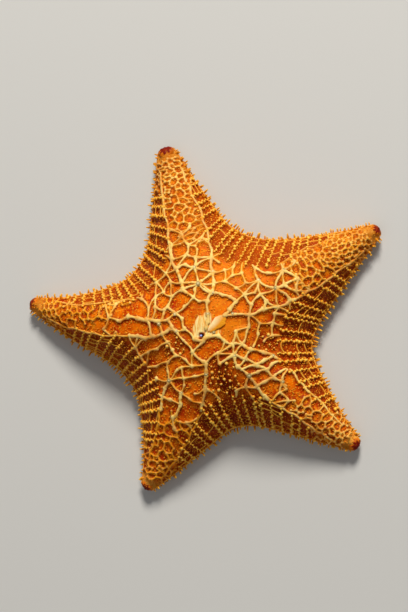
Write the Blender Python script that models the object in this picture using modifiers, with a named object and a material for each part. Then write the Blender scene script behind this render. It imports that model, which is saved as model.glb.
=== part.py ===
"""A cushion sea star, life size: a domed disc, five tapering arms and what a person would name on them.

The body is one soft form: a coarse cage, lofted arm by arm, under a Subdivision Surface. It is then parted
with thin cuts into the disc, the arms and their tips, and the spines of the margin are joined to the piece
they grow from. The madreporite sits in a seat of its own; the eyespots stand just clear of the arms' ends,
and the mouth ring hangs clear of the mouth's walls.

Arms are lettered clockwise seen from above, from the one towards -Y, and the madreporite lies by the root of d.
Metres, +Z up. The floor is z = 0 and the origin is the middle of the base of the bounding box.
"""

import math

import bmesh
import bpy
from mathutils import Matrix, Vector
from mathutils.bvhtree import BVHTree

# Driving dimensions.
DISC_RADIUS = 0.0690  # hub to the notch between two arms
DISC_HEIGHT = 0.0500
TIP_HEIGHT = 0.0125  # crest of an arm at its end
MARGIN_HEIGHT = 0.0095  # where the side turns over to the upper face, at the disc
TIP_MARGIN_HEIGHT = 0.0075
TIP_LIFT = 0.0042  # the sole of the arm's end curls up by this
FURROW_HALF_WIDTH = 0.0052  # of the groove under each arm, at the mouth
FURROW_DEPTH = 0.0075
MOUTH_RADIUS = 0.0095  # hub to the point of each jaw
MOUTH_DEPTH = 0.0100
GAP = 0.0003  # between neighbouring pieces

# Arm: bearing of its root and of its tip about the hub, in degrees, its reach, and half its width at its root.
ARMS = {
    "a": (-110.8, -113.8, 0.1180, 0.0350),
    "b": (175.6, 170.8, 0.1315, 0.0295),
    "c": (105.6, 105.0, 0.1305, 0.0305),
    "d": (30.2, 31.0, 0.1315, 0.0330),
    "e": (-40.4, -38.6, 0.1255, 0.0315),
}
NAMES = list(ARMS)

TIP_HALF_WIDTH = {"a": 0.0052, "b": 0.0052, "c": 0.0072, "d": 0.0052, "e": 0.0052}
TAPER = 1.22
LEAVES_DISC = 0.50  # share of the reach at which an arm is taken to start
ROOT_CUT = DISC_RADIUS * math.cos(math.radians(36)) + 0.003  # hub to the flat cut between disc and arm

# The cage: shares of the reach at which each section meets the crest and the margin. The first section is
# the line from the hub to the notch, which two arms share.
CREST_STATIONS = (0.24, 0.45, 0.65, 0.83, 0.96)
MARGIN_STATIONS = (0.50, 0.585, 0.71, 0.845, 0.96)
FLANK_ROWS = (0.30, 0.62, 0.88)  # shares of the way from the crest to the margin
SOLE_ROWS = (0.93, 0.60)

# The marginal spines.
SPINE_PITCH = 0.0064
SPINE_LENGTH = 0.0036
SPINE_ROOT_RADIUS = 0.0015
SPINE_SUNK = 0.0012
SPINE_SIDES = 5
SPINE_CLEARANCE = 0.0022  # kept from the cuts between pieces

TIP_LENGTH = 0.0085  # of the end plate's node
EYE_SIZE = (0.0026, 0.0020, 0.0012)
EYE_LEVEL = 0.0078
MADREPORITE_RADIUS = 0.0055
MADREPORITE_HEIGHT = 0.0020
MADREPORITE_DISTANCE = 0.0094
MADREPORITE_BEARING = 20.0
PORE_RADIUS = 0.0017
PORE_DISTANCE = 0.0053
PORE_BEARING = -105.0
MOUTH_RING_RADIUS = 0.0052
MOUTH_RING_TUBE = 0.0017

COLOURS = {
    "disc": (0.80, 0.27, 0.03, 1),
    "arm": (0.83, 0.33, 0.04, 1),
    "tip": (0.33, 0.03, 0.01, 1),
    "eyespot": (0.40, 0.01, 0.01, 1),
    "madreporite": (0.86, 0.66, 0.33, 1),
    "mouth": (0.78, 0.52, 0.26, 1),
}


def clear_scene():
    for obj in list(bpy.data.objects):
        bpy.data.objects.remove(obj)


def new_collection(name):
    collection = bpy.data.collections.new(name)
    bpy.context.scene.collection.children.link(collection)
    return collection


def material(name, colour, roughness):
    made = bpy.data.materials.new(name)
    made.use_nodes = True
    shader = made.node_tree.nodes["Principled BSDF"]
    shader.inputs["Base Color"].default_value = colour
    shader.inputs["Roughness"].default_value = roughness
    shader.inputs["Metallic"].default_value = 0.0
    return made


def mixed(a, b, share):
    return a + (b - a) * share


def bearing_vector(degrees):
    turn = math.radians(degrees)
    return Vector((math.cos(turn), math.sin(turn), 0))


def axis_point(arm, share):
    """A point of the arm's middle line: straight over the disc, then bending towards the tip's bearing."""
    root, tip, reach, _ = ARMS[arm]
    bend = max(0.0, (share - LEAVES_DISC * 0.9) / (1 - LEAVES_DISC * 0.9))
    return bearing_vector(mixed(root, tip, bend**2)) * (share * reach)


def axis_side(arm, share):
    """The unit vector to the left of the arm's middle line."""
    step = 0.01
    along = (axis_point(arm, share + step) - axis_point(arm, share - step)).normalized()
    return Vector((-along.y, along.x, 0))


def half_width(arm, share):
    outward = (1 - share) / (1 - LEAVES_DISC)
    return mixed(TIP_HALF_WIDTH[arm], ARMS[arm][3], max(outward, 0.0) ** TAPER)


def crest_height(share):
    return mixed(TIP_HEIGHT, DISC_HEIGHT, (1 - min(share, 1.0) ** 1.5) ** 1.2)


def margin_height(share):
    return mixed(MARGIN_HEIGHT, TIP_MARGIN_HEIGHT, share)


def lift(share):
    return TIP_LIFT * max(0.0, (share - 0.86) / 0.14) ** 2


def notch_bearing(arm, side):
    """The bearing of the notch on the left (+1) or right (-1) of an arm."""
    root = ARMS[arm][0]
    neighbour = ARMS[NAMES[(NAMES.index(arm) - side) % len(NAMES)]][0]
    gap = (neighbour - root) * side % 360
    return root + side * gap / 2


def section(crest, margin, crest_z, margin_z, lip, root_z, raised):
    """One half section as points from the crest down over the margin and along the sole to the furrow's root."""
    points = [crest + Vector((0, 0, crest_z))]
    for row in FLANK_ROWS:
        z = margin_z + (crest_z - margin_z) * (1 - row**2.2) ** 0.9
        points.append(crest.lerp(margin, row) + Vector((0, 0, z)))
    points.append(margin + Vector((0, 0, margin_z)))
    points.append(margin + Vector((0, 0, margin_z * 0.4)))
    for row in SOLE_ROWS:
        points.append(crest.lerp(margin, row))
    points.append(lip)
    points.append(Vector((crest.x, crest.y, root_z)))
    for point in points[5:]:
        point.z += raised
    return points


def notch_section(arm, side):
    bearing = bearing_vector(notch_bearing(arm, side))
    return section(
        Vector((0, 0, 0)), bearing * DISC_RADIUS, DISC_HEIGHT, MARGIN_HEIGHT, bearing * MOUTH_RADIUS, MOUTH_DEPTH, 0.0
    )


def arm_section(arm, side, station):
    at_crest = CREST_STATIONS[station]
    at_margin = MARGIN_STATIONS[station]
    crest = axis_point(arm, at_crest)
    margin = axis_point(arm, at_margin) + axis_side(arm, at_margin) * side * half_width(arm, at_margin)
    narrow = 1 - 0.55 * at_crest
    lip = crest + axis_side(arm, at_crest) * side * FURROW_HALF_WIDTH * narrow
    root_z = FURROW_DEPTH * narrow
    return section(
        crest, margin, crest_height(at_crest), margin_height(at_margin), lip, root_z, lift(at_crest)
    )


def end_section(arm, side):
    """The blunt end of the arm, drawn in on every side."""
    last = arm_section(arm, side, len(CREST_STATIONS) - 1)
    middle = axis_point(arm, CREST_STATIONS[-1])
    end = axis_point(arm, 1.0)
    waist = (TIP_HEIGHT + TIP_LIFT) / 2
    drawn = []
    for point in last:
        across = Vector((point.x, point.y, 0)) - middle
        drawn.append(end + across * 0.55 + Vector((0, 0, mixed(waist, point.z + 0.0012, 0.62))))
    return drawn


def body_cage():
    """The whole animal as one closed cage of four-sided faces."""
    bm = bmesh.new()
    made = {}

    def corner(point):
        key = tuple(round(number, 6) for number in point)
        if key not in made:
            made[key] = bm.verts.new(point)
        return made[key]

    for arm in NAMES:
        for side in (1, -1):
            columns = [notch_section(arm, side)]
            columns += [arm_section(arm, side, station) for station in range(len(CREST_STATIONS))]
            columns.append(end_section(arm, side))
            grid = [[corner(point) for point in column] for column in columns]
            for inner, outer in zip(grid, grid[1:]):
                for row in range(len(inner) - 1):
                    face = [inner[row], outer[row], outer[row + 1], inner[row + 1]]
                    bm.faces.new(face if side < 0 else face[::-1])
        left, right = ([corner(point) for point in end_section(arm, side)] for side in (1, -1))
        crest, root = left[0], left[-1]
        bm.faces.new((crest, left[1], right[1]))
        bm.faces.new((left[1], left[2], right[2], right[1]))
        bm.faces.new((left[2], left[3], right[3], right[2]))
        bm.faces.new((left[3], root, right[3]))
        for half in (left, right):
            upper, margin, below, outer, sole, lip = half[3:9]
            bm.faces.new((upper, margin, lip, root))
            bm.faces.new((margin, below, sole, lip))
            bm.faces.new((below, outer, sole))
    bmesh.ops.recalc_face_normals(bm, faces=bm.faces)
    mesh = bpy.data.meshes.new("body")
    bm.to_mesh(mesh)
    bm.free()
    return mesh


def subdivided(mesh, levels):
    """The mesh that a Subdivision Surface makes of this one."""
    holder = bpy.data.objects.new("holder", mesh)
    bpy.context.scene.collection.objects.link(holder)
    smooth = holder.modifiers.new("Subdivision", "SUBSURF")
    smooth.levels = smooth.render_levels = levels
    smooth.use_limit_surface = False  # keeps the level part of the sole exactly level
    made = bpy.data.meshes.new_from_object(holder.evaluated_get(bpy.context.evaluated_depsgraph_get()))
    bpy.data.objects.remove(holder)
    return made


def add_object(name, mesh, collection):
    obj = bpy.data.objects.new(name, mesh)
    collection.objects.link(obj)
    return obj


def add_block(name, size, place, bearing, cutters):
    """A box whose inner face stands at place, and which runs outwards along the bearing."""
    bpy.ops.mesh.primitive_cube_add(size=1)
    block = bpy.context.object
    block.name = name
    shift = Matrix.Translation((0.5, 0, 0))
    scale = Matrix.Diagonal((*size, 1))
    block.data.transform(scale @ shift)
    block.matrix_world = Matrix.Translation(place) @ Matrix.Rotation(math.radians(bearing), 4, "Z")
    for collection in block.users_collection:
        collection.objects.unlink(block)
    cutters.objects.link(block)
    block.hide_render = True
    block.display_type = "WIRE"
    return block


def apply_boolean(obj, cutter, operation):
    bpy.context.view_layer.update()
    modifier = obj.modifiers.new(operation.title(), "BOOLEAN")
    modifier.operation = operation
    modifier.object = cutter
    modifier.solver = "EXACT"
    bpy.context.view_layer.update()
    cut = bpy.data.meshes.new_from_object(obj.evaluated_get(bpy.context.evaluated_depsgraph_get()))
    obj.modifiers.clear()
    old = obj.data
    obj.data = cut
    bpy.data.meshes.remove(old)


def part_body(body_mesh, parts, cutters):
    """The disc, the arms and the tips, cut from the one body with a gap between them."""
    pieces = {"disc": add_object("disc", body_mesh.copy(), parts)}
    for arm in NAMES:
        root, _, reach, _ = ARMS[arm]
        outer = bearing_vector(root)
        size = (0.12, 0.16, 0.16)
        block = add_block(f"cut_root_{arm}", size, outer * ROOT_CUT, root, cutters)
        wide = add_block(f"cut_root_gap_{arm}", size, outer * (ROOT_CUT - GAP), root, cutters)
        piece = add_object(f"arm_{arm}", body_mesh.copy(), parts)
        apply_boolean(piece, block, "INTERSECT")
        apply_boolean(pieces["disc"], wide, "DIFFERENCE")

        share = 1 - TIP_LENGTH / reach
        side = axis_side(arm, share)
        bearing = math.degrees(math.atan2(-side.x, side.y))
        along = bearing_vector(bearing)
        place = axis_point(arm, share)
        size = (0.04, 0.05, 0.08)
        block = add_block(f"cut_tip_{arm}", size, place, bearing, cutters)
        wide = add_block(f"cut_tip_gap_{arm}", size, place - along * GAP, bearing, cutters)
        end = add_object(f"tip_{arm}", piece.data.copy(), parts)
        apply_boolean(end, block, "INTERSECT")
        apply_boolean(piece, wide, "DIFFERENCE")
        pieces[f"arm_{arm}"] = piece
        pieces[f"tip_{arm}"] = end
    return pieces


def spine_seats(arm, side, surface):
    """Places and directions of the marginal spines down one side of an arm, in two rows that alternate."""
    seats = []
    share = 0.455
    count = 0
    while share < 0.965:
        centre = axis_point(arm, share)
        outward = axis_side(arm, share) * side
        level = 0.0098 if count % 2 == 0 else 0.0052
        level = level * (1 - 0.18 * share) + lift(share)
        hit, normal, _, _ = surface.ray_cast(centre + Vector((0, 0, level)), outward)
        if hit is not None:
            lean = (normal + outward + Vector((0, 0, 0.35 if count % 2 == 0 else 0.0))).normalized()
            seats.append((hit, lean, share))
        slope = math.hypot(1, (half_width(arm, share) - half_width(arm, share + 0.01)) / (0.01 * ARMS[arm][2]))
        share += SPINE_PITCH / slope / ARMS[arm][2]
        count += 1
    return seats


def spine_at(place, direction, length):
    bm = bmesh.new()
    bmesh.ops.create_cone(
        bm,
        cap_ends=True,
        segments=SPINE_SIDES,
        radius1=SPINE_ROOT_RADIUS,
        radius2=0,
        depth=length + SPINE_SUNK,
    )
    rise = Matrix.Translation((0, 0, (length - SPINE_SUNK) / 2))
    turn = direction.to_track_quat("Z", "Y").to_matrix().to_4x4()
    bmesh.ops.transform(bm, matrix=Matrix.Translation(place) @ turn @ rise, verts=bm.verts)
    mesh = bpy.data.meshes.new("spine")
    bm.to_mesh(mesh)
    bm.free()
    return mesh


def joined(meshes, name):
    bm = bmesh.new()
    for mesh in meshes:
        bm.from_mesh(mesh)
        bpy.data.meshes.remove(mesh)
    made = bpy.data.meshes.new(name)
    bm.to_mesh(made)
    bm.free()
    return made


def spined(body_mesh, surface, cutters):
    """The body with its marginal spines joined on, none of them where a cut between pieces will pass."""
    meshes = []
    for arm in NAMES:
        outer = bearing_vector(ARMS[arm][0])
        last = 1 - (TIP_LENGTH + SPINE_CLEARANCE) / ARMS[arm][2]
        for side in (1, -1):
            for place, direction, share in spine_seats(arm, side, surface):
                if place.dot(outer) > ROOT_CUT + SPINE_CLEARANCE and share < last:
                    meshes.append(spine_at(place, direction, SPINE_LENGTH * mixed(1.0, 0.75, share)))
        bearing = bearing_vector(notch_bearing(arm, 1))
        hit, normal, _, _ = surface.ray_cast(bearing * 0.03 + Vector((0, 0, MARGIN_HEIGHT)), bearing)
        meshes.append(spine_at(hit, (normal + bearing).normalized(), SPINE_LENGTH * 0.8))
    spines = add_object("spines", joined(meshes, "spines"), cutters)
    spines.hide_render = True
    spines.display_type = "WIRE"
    body = add_object("body", body_mesh, cutters)
    apply_boolean(body, spines, "UNION")
    made = body.data
    bpy.data.objects.remove(body)
    return made


def dome(radius, height, sides, rings, lobes=0, depth=0.0):
    """A low rounded button, flat below, whose rim may be waved into lobes."""
    bm = bmesh.new()
    bmesh.ops.create_uvsphere(bm, u_segments=sides, v_segments=rings * 2, radius=1)
    below = [v for v in bm.verts if v.co.z < -0.45]
    bmesh.ops.delete(bm, geom=below, context="VERTS")
    rim = [e for e in bm.edges if e.is_boundary]
    bmesh.ops.holes_fill(bm, edges=rim, sides=0)
    for vert in bm.verts:
        turn = math.atan2(vert.co.y, vert.co.x)
        wave = 1 + depth * math.cos(lobes * turn)
        vert.co = Vector((vert.co.x * radius * wave, vert.co.y * radius * wave, vert.co.z * height))
    mesh = bpy.data.meshes.new("dome")
    bm.to_mesh(mesh)
    bm.free()
    return mesh


def seated(name, mesh, place, host, parts, cutters):
    """Sets a piece in a seat cut in its host, a gap wider than the piece on every side."""
    piece = add_object(name, mesh, parts)
    piece.matrix_world = place
    seat = add_object(f"seat_{name}", mesh.copy(), cutters)
    low = Vector([min(v.co[k] for v in mesh.vertices) for k in range(3)])
    high = Vector([max(v.co[k] for v in mesh.vertices) for k in range(3)])
    middle = (low + high) / 2
    grow = [1 + 2 * GAP / (high[k] - low[k]) for k in range(3)]
    seat.data.transform(
        Matrix.Translation(middle) @ Matrix.Diagonal((*grow, 1)) @ Matrix.Translation(-middle)
    )
    seat.matrix_world = place
    seat.hide_render = True
    seat.display_type = "WIRE"
    apply_boolean(host, seat, "DIFFERENCE")
    return piece


def add_madreporite(pieces, surface, parts, cutters):
    """The sieve plate: a rounded button on the disc by the root of arm d."""
    bearing = bearing_vector(MADREPORITE_BEARING)
    hit, normal, _, _ = surface.ray_cast(bearing * MADREPORITE_DISTANCE + Vector((0, 0, 0.1)), Vector((0, 0, -1)))
    turn = normal.to_track_quat("Z", "Y").to_matrix().to_4x4()
    place = Matrix.Translation(hit - normal * MADREPORITE_HEIGHT * 0.4) @ turn
    mesh = dome(MADREPORITE_RADIUS, MADREPORITE_HEIGHT, 15, 3, lobes=3, depth=0.08)
    pieces["madreporite"] = seated("madreporite", mesh, place, pieces["disc"], parts, cutters)


def cut_pore(pieces, surface, cutters):
    """The anal pore, a small round pit beside the top of the disc."""
    beside = bearing_vector(PORE_BEARING) * PORE_DISTANCE
    hit, _, _, _ = surface.ray_cast(beside + Vector((0, 0, 0.1)), Vector((0, 0, -1)))
    bpy.ops.mesh.primitive_ico_sphere_add(subdivisions=2, radius=PORE_RADIUS, location=hit)
    ball = bpy.context.object
    ball.name = "cut_pore"
    for collection in ball.users_collection:
        collection.objects.unlink(ball)
    cutters.objects.link(ball)
    ball.hide_render = True
    ball.display_type = "WIRE"
    apply_boolean(pieces["disc"], ball, "DIFFERENCE")


def add_mouth(pieces, parts):
    """The lip round the mouth, a ring that hangs in the mouth's hollow, clear of its walls."""
    bpy.ops.mesh.primitive_torus_add(
        major_radius=MOUTH_RING_RADIUS,
        minor_radius=MOUTH_RING_TUBE,
        major_segments=15,
        minor_segments=6,
        location=(0, 0, MOUTH_RING_TUBE + 0.0012),
    )
    ring = bpy.context.object
    ring.name = "mouth"
    for collection in ring.users_collection:
        collection.objects.unlink(ring)
    parts.objects.link(ring)
    pieces["mouth"] = ring


def add_eyespots(pieces, surface, parts):
    """A small pad at the end of each arm, where its furrow comes out, standing a gap clear of the skin."""
    for arm in NAMES:
        side = axis_side(arm, 1.0)
        along = Vector((side.y, -side.x, 0))
        start = axis_point(arm, 0.9) + Vector((0, 0, EYE_LEVEL))
        hit, normal, _, _ = surface.ray_cast(start, along)
        turn = normal.to_track_quat("Z", "Y").to_matrix().to_4x4()
        place = Matrix.Translation(hit + normal * (EYE_SIZE[2] / 2 + GAP)) @ turn
        pieces[f"eyespot_{arm}"] = add_object(f"eyespot_{arm}", eye_pad(), parts)
        pieces[f"eyespot_{arm}"].matrix_world = place


def eye_pad():
    bm = bmesh.new()
    bmesh.ops.create_uvsphere(bm, u_segments=8, v_segments=4, radius=0.5)
    bmesh.ops.scale(bm, vec=EYE_SIZE, verts=bm.verts)
    mesh = bpy.data.meshes.new("eyespot")
    bm.to_mesh(mesh)
    bm.free()
    return mesh


def finish(pieces):
    """Materials, smooth shading and the move that brings the origin to the middle of the base."""
    made = {kind: material(kind, colour, 0.6) for kind, colour in COLOURS.items()}
    for name, piece in pieces.items():
        piece.data.materials.clear()
        piece.data.materials.append(made[name.rstrip("abcde").rstrip("_") if "_" in name else name])
        piece.data.shade_smooth()
        piece.data.set_sharp_from_angle(angle=math.radians(40))
    bpy.context.view_layer.update()
    corners = [piece.matrix_world @ v.co for piece in pieces.values() for v in piece.data.vertices]
    low = Vector([min(c[k] for c in corners) for k in range(3)])
    high = Vector([max(c[k] for c in corners) for k in range(3)])
    shift = Vector((-(low.x + high.x) / 2, -(low.y + high.y) / 2, -low.z))
    for piece in pieces.values():
        piece.matrix_world = Matrix.Translation(shift) @ piece.matrix_world
    bpy.context.view_layer.update()


def main():
    clear_scene()
    parts = new_collection("sea_star")
    cutters = new_collection("cutters")
    body = subdivided(body_cage(), 1)
    bm = bmesh.new()
    bm.from_mesh(body)
    surface = BVHTree.FromBMesh(bm)
    bm.free()
    pieces = part_body(spined(body, surface, cutters), parts, cutters)
    add_eyespots(pieces, surface, parts)
    add_madreporite(pieces, surface, parts, cutters)
    cut_pore(pieces, surface, cutters)
    add_mouth(pieces, parts)
    finish(pieces)


main()
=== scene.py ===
import math
import bpy
import numpy as np
from mathutils import Matrix, Vector, geometry
from mathutils.bvhtree import BVHTree
from mathutils.kdtree import KDTree


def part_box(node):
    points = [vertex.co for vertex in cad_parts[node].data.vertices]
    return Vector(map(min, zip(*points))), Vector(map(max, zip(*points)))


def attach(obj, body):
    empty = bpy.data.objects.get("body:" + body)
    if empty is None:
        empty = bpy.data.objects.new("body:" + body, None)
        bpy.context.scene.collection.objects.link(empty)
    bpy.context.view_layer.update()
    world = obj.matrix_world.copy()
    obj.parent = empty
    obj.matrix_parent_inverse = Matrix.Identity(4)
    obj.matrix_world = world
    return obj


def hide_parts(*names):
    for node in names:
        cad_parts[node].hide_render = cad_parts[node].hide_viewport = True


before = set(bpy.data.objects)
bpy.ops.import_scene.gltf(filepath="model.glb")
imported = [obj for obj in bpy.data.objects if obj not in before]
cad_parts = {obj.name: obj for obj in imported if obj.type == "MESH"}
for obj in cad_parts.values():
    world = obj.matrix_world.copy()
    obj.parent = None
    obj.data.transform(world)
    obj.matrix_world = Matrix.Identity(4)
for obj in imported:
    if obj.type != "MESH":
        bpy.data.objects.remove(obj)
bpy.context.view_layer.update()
mm = 0.001


def deselect():
    if bpy.context.mode != "OBJECT":
        bpy.ops.object.mode_set(mode="OBJECT")
    bpy.ops.object.select_all(action="DESELECT")


def linear(hexColour):  # sRGB hex to the linear colour that the shader takes
    parts = [int(hexColour[k:k + 2], 16) / 255 for k in (1, 3, 5)]
    return tuple(p / 12.92 if p <= 0.04045 else ((p + 0.055) / 1.055) ** 2.4 for p in parts) + (1.0,)


def mixed(a, b, share):
    return a + (b - a) * share


def smooth(low, high, value):  # 0 below low, 1 above high, eased between
    t = np.clip((value - low) / (high - low), 0, 1)
    return t * t * (3 - 2 * t)


def unit(vectors):
    return vectors / np.maximum(np.linalg.norm(vectors, axis=-1, keepdims=True), 1e-12)


def meshFrom(name, points, faces, uv=None, **values):  # a mesh object from arrays, with map and attributes
    mesh = bpy.data.meshes.new(name)
    sides = faces.shape[1]
    mesh.vertices.add(len(points))
    mesh.vertices.foreach_set("co", points.astype(np.float32).ravel())
    mesh.loops.add(faces.size)
    mesh.loops.foreach_set("vertex_index", faces.astype(np.int32).ravel())
    mesh.polygons.add(len(faces))
    mesh.polygons.foreach_set("loop_start", np.arange(0, faces.size, sides, dtype=np.int32))
    mesh.update(calc_edges=True)
    mesh.validate()
    if uv is not None:
        layer = mesh.uv_layers.new(name="OFBake")
        layer.data.foreach_set("uv", uv[faces.ravel()].astype(np.float32).ravel())
    for key, value in values.items():
        mesh.attributes.new(key, "FLOAT", "POINT").data.foreach_set("value", value.astype(np.float32))
    mesh.polygons.foreach_set("use_smooth", np.ones(len(faces), bool))
    piece = bpy.data.objects.new(name, mesh)
    bpy.context.scene.collection.objects.link(piece)
    return piece


def pointsOf(mesh):
    points = np.zeros(len(mesh.vertices) * 3, np.float32)
    mesh.vertices.foreach_get("co", points)
    return points.reshape(-1, 3).astype(float)


def normalsOf(mesh):
    normals = np.zeros(len(mesh.vertices) * 3, np.float32)
    mesh.vertex_normals.foreach_get("vector", normals)
    return normals.reshape(-1, 3).astype(float)


def applied(piece, kind, **settings):  # adds a modifier, sets it and applies it
    deselect()
    piece.select_set(True)
    bpy.context.view_layer.objects.active = piece
    modifier = piece.modifiers.new(kind.title(), kind)
    for key, value in settings.items():
        setattr(modifier, key, value)
    bpy.ops.object.modifier_apply(modifier=modifier.name)


def runOf(points):  # how far along a line each of its points lies
    return np.concatenate([[0], np.cumsum(np.linalg.norm(np.diff(points, axis=0), axis=1))])


def treeOf(points, numbers=None):  # the points sorted, to find the nearest
    tree = KDTree(len(points))
    for n, point in enumerate(points):
        tree.insert(point, n if numbers is None else numbers[n])
    tree.balance()
    return tree


mouthLow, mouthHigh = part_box("mouth")
hub = np.array(((mouthLow.x + mouthHigh.x) / 2, (mouthLow.y + mouthHigh.y) / 2, 0.0))

# the body's plan, as the frame has it: metres, and shares of an arm's reach
bodyPlan = {
    "discRadius": 0.0690, "discHeight": 0.0500, "tipHeight": 0.0125,
    "marginHeight": 0.0095, "tipMarginHeight": 0.0075, "tipLift": 0.0042, "tipLiftFrom": 0.86,
    "furrowHalfWidth": 0.0052, "furrowDepth": 0.0075, "mouthRadius": 0.0095, "mouthDepth": 0.0100,
    "tipHalfWidth": {"a": 0.0052, "b": 0.0052, "c": 0.0072, "d": 0.0052, "e": 0.0052},
    "taper": 1.22, "leavesDisc": 0.50,  # where the arms leave the disc
    "crestStations": (0.24, 0.45, 0.65, 0.83, 0.96), "marginStations": (0.50, 0.585, 0.71, 0.845, 0.96),
    "flankRows": (0.30, 0.62, 0.88), "soleRows": (0.93, 0.60),  # shares of the way from crest to margin
    "crestRound": (1.5, 1.2), "flankRound": (2.2, 0.9),  # powers that round the back and the flanks
    "furrowNarrows": 0.55,  # share of the furrow's width that is lost by the arm's end
    "endShrink": 0.55, "endLift": 0.0012, "endRound": 0.62,  # how the blunt end draws in
    "smoothing": 3,
}
armPlan = {  # bearings of root and tip in degrees, reach and half width at the root in metres
    "a": (-110.8, -113.8, 0.1180, 0.0350),
    "b": (175.6, 170.8, 0.1315, 0.0295),
    "c": (105.6, 105.0, 0.1305, 0.0305),
    "d": (30.2, 31.0, 0.1315, 0.0330),
    "e": (-40.4, -38.6, 0.1255, 0.0315),
}
armNames = list(armPlan)
halfArms = [(arm, side) for arm in armNames for side in (1, -1)]


def bearing(degrees):
    turn = math.radians(degrees)
    return np.array((math.cos(turn), math.sin(turn), 0.0))


def axisPoint(arm, share):
    root, tip, reach, width = armPlan[arm]
    straight = bodyPlan["leavesDisc"] * 0.9
    bend = max(0.0, (share - straight) / (1 - straight))
    return bearing(mixed(root, tip, bend ** 2)) * (share * reach)


def axisSide(arm, share):
    along = axisPoint(arm, share + 0.01) - axisPoint(arm, share - 0.01)
    along = along / np.linalg.norm(along)
    return np.array((-along[1], along[0], 0.0))


def halfWidth(arm, share):
    outward = max((1 - share) / (1 - bodyPlan["leavesDisc"]), 0.0)
    return mixed(bodyPlan["tipHalfWidth"][arm], armPlan[arm][3], outward ** bodyPlan["taper"])


def crestHeight(share):
    fall, fullness = bodyPlan["crestRound"]
    return mixed(bodyPlan["tipHeight"], bodyPlan["discHeight"], (1 - min(share, 1.0) ** fall) ** fullness)


def tipRaise(share):
    start = bodyPlan["tipLiftFrom"]
    return bodyPlan["tipLift"] * max(0.0, (share - start) / (1 - start)) ** 2


def notchBearing(arm, side):
    root = armPlan[arm][0]
    neighbour = armPlan[armNames[(armNames.index(arm) - side) % 5]][0]
    return root + side * ((neighbour - root) * side % 360) / 2


def sectionRows(crest, margin, crestZ, marginZ, lip, rootZ, raised):  # crest, flank, margin, sole, furrow
    up = np.array((0.0, 0.0, 1.0))
    fall, fullness = bodyPlan["flankRound"]
    rows = [crest + up * crestZ]
    for row in bodyPlan["flankRows"]:
        height = marginZ + (crestZ - marginZ) * (1 - row ** fall) ** fullness
        rows.append(mixed(crest, margin, row) + up * height)
    rows += [margin + up * marginZ, margin + up * marginZ * 0.4]
    rows += [mixed(crest, margin, row) for row in bodyPlan["soleRows"]]
    rows += [lip.copy(), np.array((crest[0], crest[1], rootZ))]
    for row in rows[5:]:
        row[2] += raised
    return np.array(rows)


def halfSections(arm, side):  # the seven sections of one half arm, from the notch line to the arm's end
    plan = bodyPlan
    notch = bearing(notchBearing(arm, side))
    sections = [sectionRows(
        np.zeros(3), notch * plan["discRadius"], plan["discHeight"], plan["marginHeight"],
        notch * plan["mouthRadius"], plan["mouthDepth"], 0.0)]
    for atCrest, atMargin in zip(plan["crestStations"], plan["marginStations"]):
        crest = axisPoint(arm, atCrest)
        margin = axisPoint(arm, atMargin) + axisSide(arm, atMargin) * side * halfWidth(arm, atMargin)
        narrow = 1 - plan["furrowNarrows"] * atCrest
        lip = crest + axisSide(arm, atCrest) * side * plan["furrowHalfWidth"] * narrow
        sections.append(sectionRows(
            crest, margin, crestHeight(atCrest),
            mixed(plan["marginHeight"], plan["tipMarginHeight"], atMargin),
            lip, plan["furrowDepth"] * narrow, tipRaise(atCrest)))
    middle = axisPoint(arm, plan["crestStations"][-1])
    waist = (plan["tipHeight"] + plan["tipLift"]) / 2
    last = []
    for point in sections[-1]:  # the blunt end, drawn in on every side
        across = np.array((point[0], point[1], 0.0)) - middle
        height = mixed(waist, point[2] + plan["endLift"], plan["endRound"])
        last.append(axisPoint(arm, 1.0) + across * plan["endShrink"] + np.array((0, 0, height)))
    sections.append(np.array(last))
    return np.array(sections)


fine = 2 ** bodyPlan["smoothing"]
# half arms, stations from the notch to the arm's end, rows from the crest to the furrow
tableSize = (10, 6 * fine + 1, 9 * fine + 1)
unwrapPlan = {"side": 0.02, "wide": 0.96, "foot": 0.01, "tall": 0.98}  # one upright strip for each half arm
patchSize = 0.003  # each small piece takes this much of the unwrap, where it grows from the skin


def unwrapOf(half, station, row):  # the place on the skin's own unwrap
    plan = unwrapPlan
    return np.stack([(half + plan["side"] + plan["wide"] * np.asarray(row) / 9) / 10,
                     plan["foot"] + plan["tall"] * np.asarray(station) / 6], -1)


def loftedBody():  # ten grids shaped to the sections, joined, closed at the arm ends and smoothed
    grids = []
    for index, (arm, side) in enumerate(halfArms):
        sections = halfSections(arm, side)
        deselect()
        bpy.ops.mesh.primitive_grid_add(x_subdivisions=6, y_subdivisions=9, size=2)
        grid = bpy.context.object
        for vert in grid.data.vertices:
            vert.co = Vector(sections[round((vert.co.x + 1) * 3), round((vert.co.y + 1) * 4.5)] + hub)
        for loop in grid.data.uv_layers.active.data:
            loop.uv = unwrapOf(index, loop.uv[0] * 6, loop.uv[1] * 9)
        grids.append(grid)
    deselect()
    for grid in grids:
        grid.select_set(True)
    bpy.context.view_layer.objects.active = grids[0]
    bpy.ops.object.join()
    body = bpy.context.object
    body.name = "loftedBody"
    bpy.ops.object.mode_set(mode="EDIT")
    bpy.ops.mesh.select_all(action="SELECT")
    bpy.ops.mesh.remove_doubles(threshold=0.01 * mm)
    bpy.ops.mesh.select_all(action="SELECT")
    bpy.ops.mesh.fill_holes(sides=0)
    bpy.ops.mesh.select_all(action="SELECT")
    bpy.ops.mesh.normals_make_consistent(inside=False)
    bpy.ops.object.mode_set(mode="OBJECT")
    for face in body.data.polygons:
        if len(face.vertices) != 4:  # the faces that close the arm ends lie outside the unwrap
            for corner in face.loop_indices:
                body.data.uv_layers.active.data[corner].uv = (0, 0)
    levels = bodyPlan["smoothing"]
    applied(body, "SUBSURF", levels=levels, render_levels=levels, use_limit_surface=False, uv_smooth="NONE")
    return body


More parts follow.
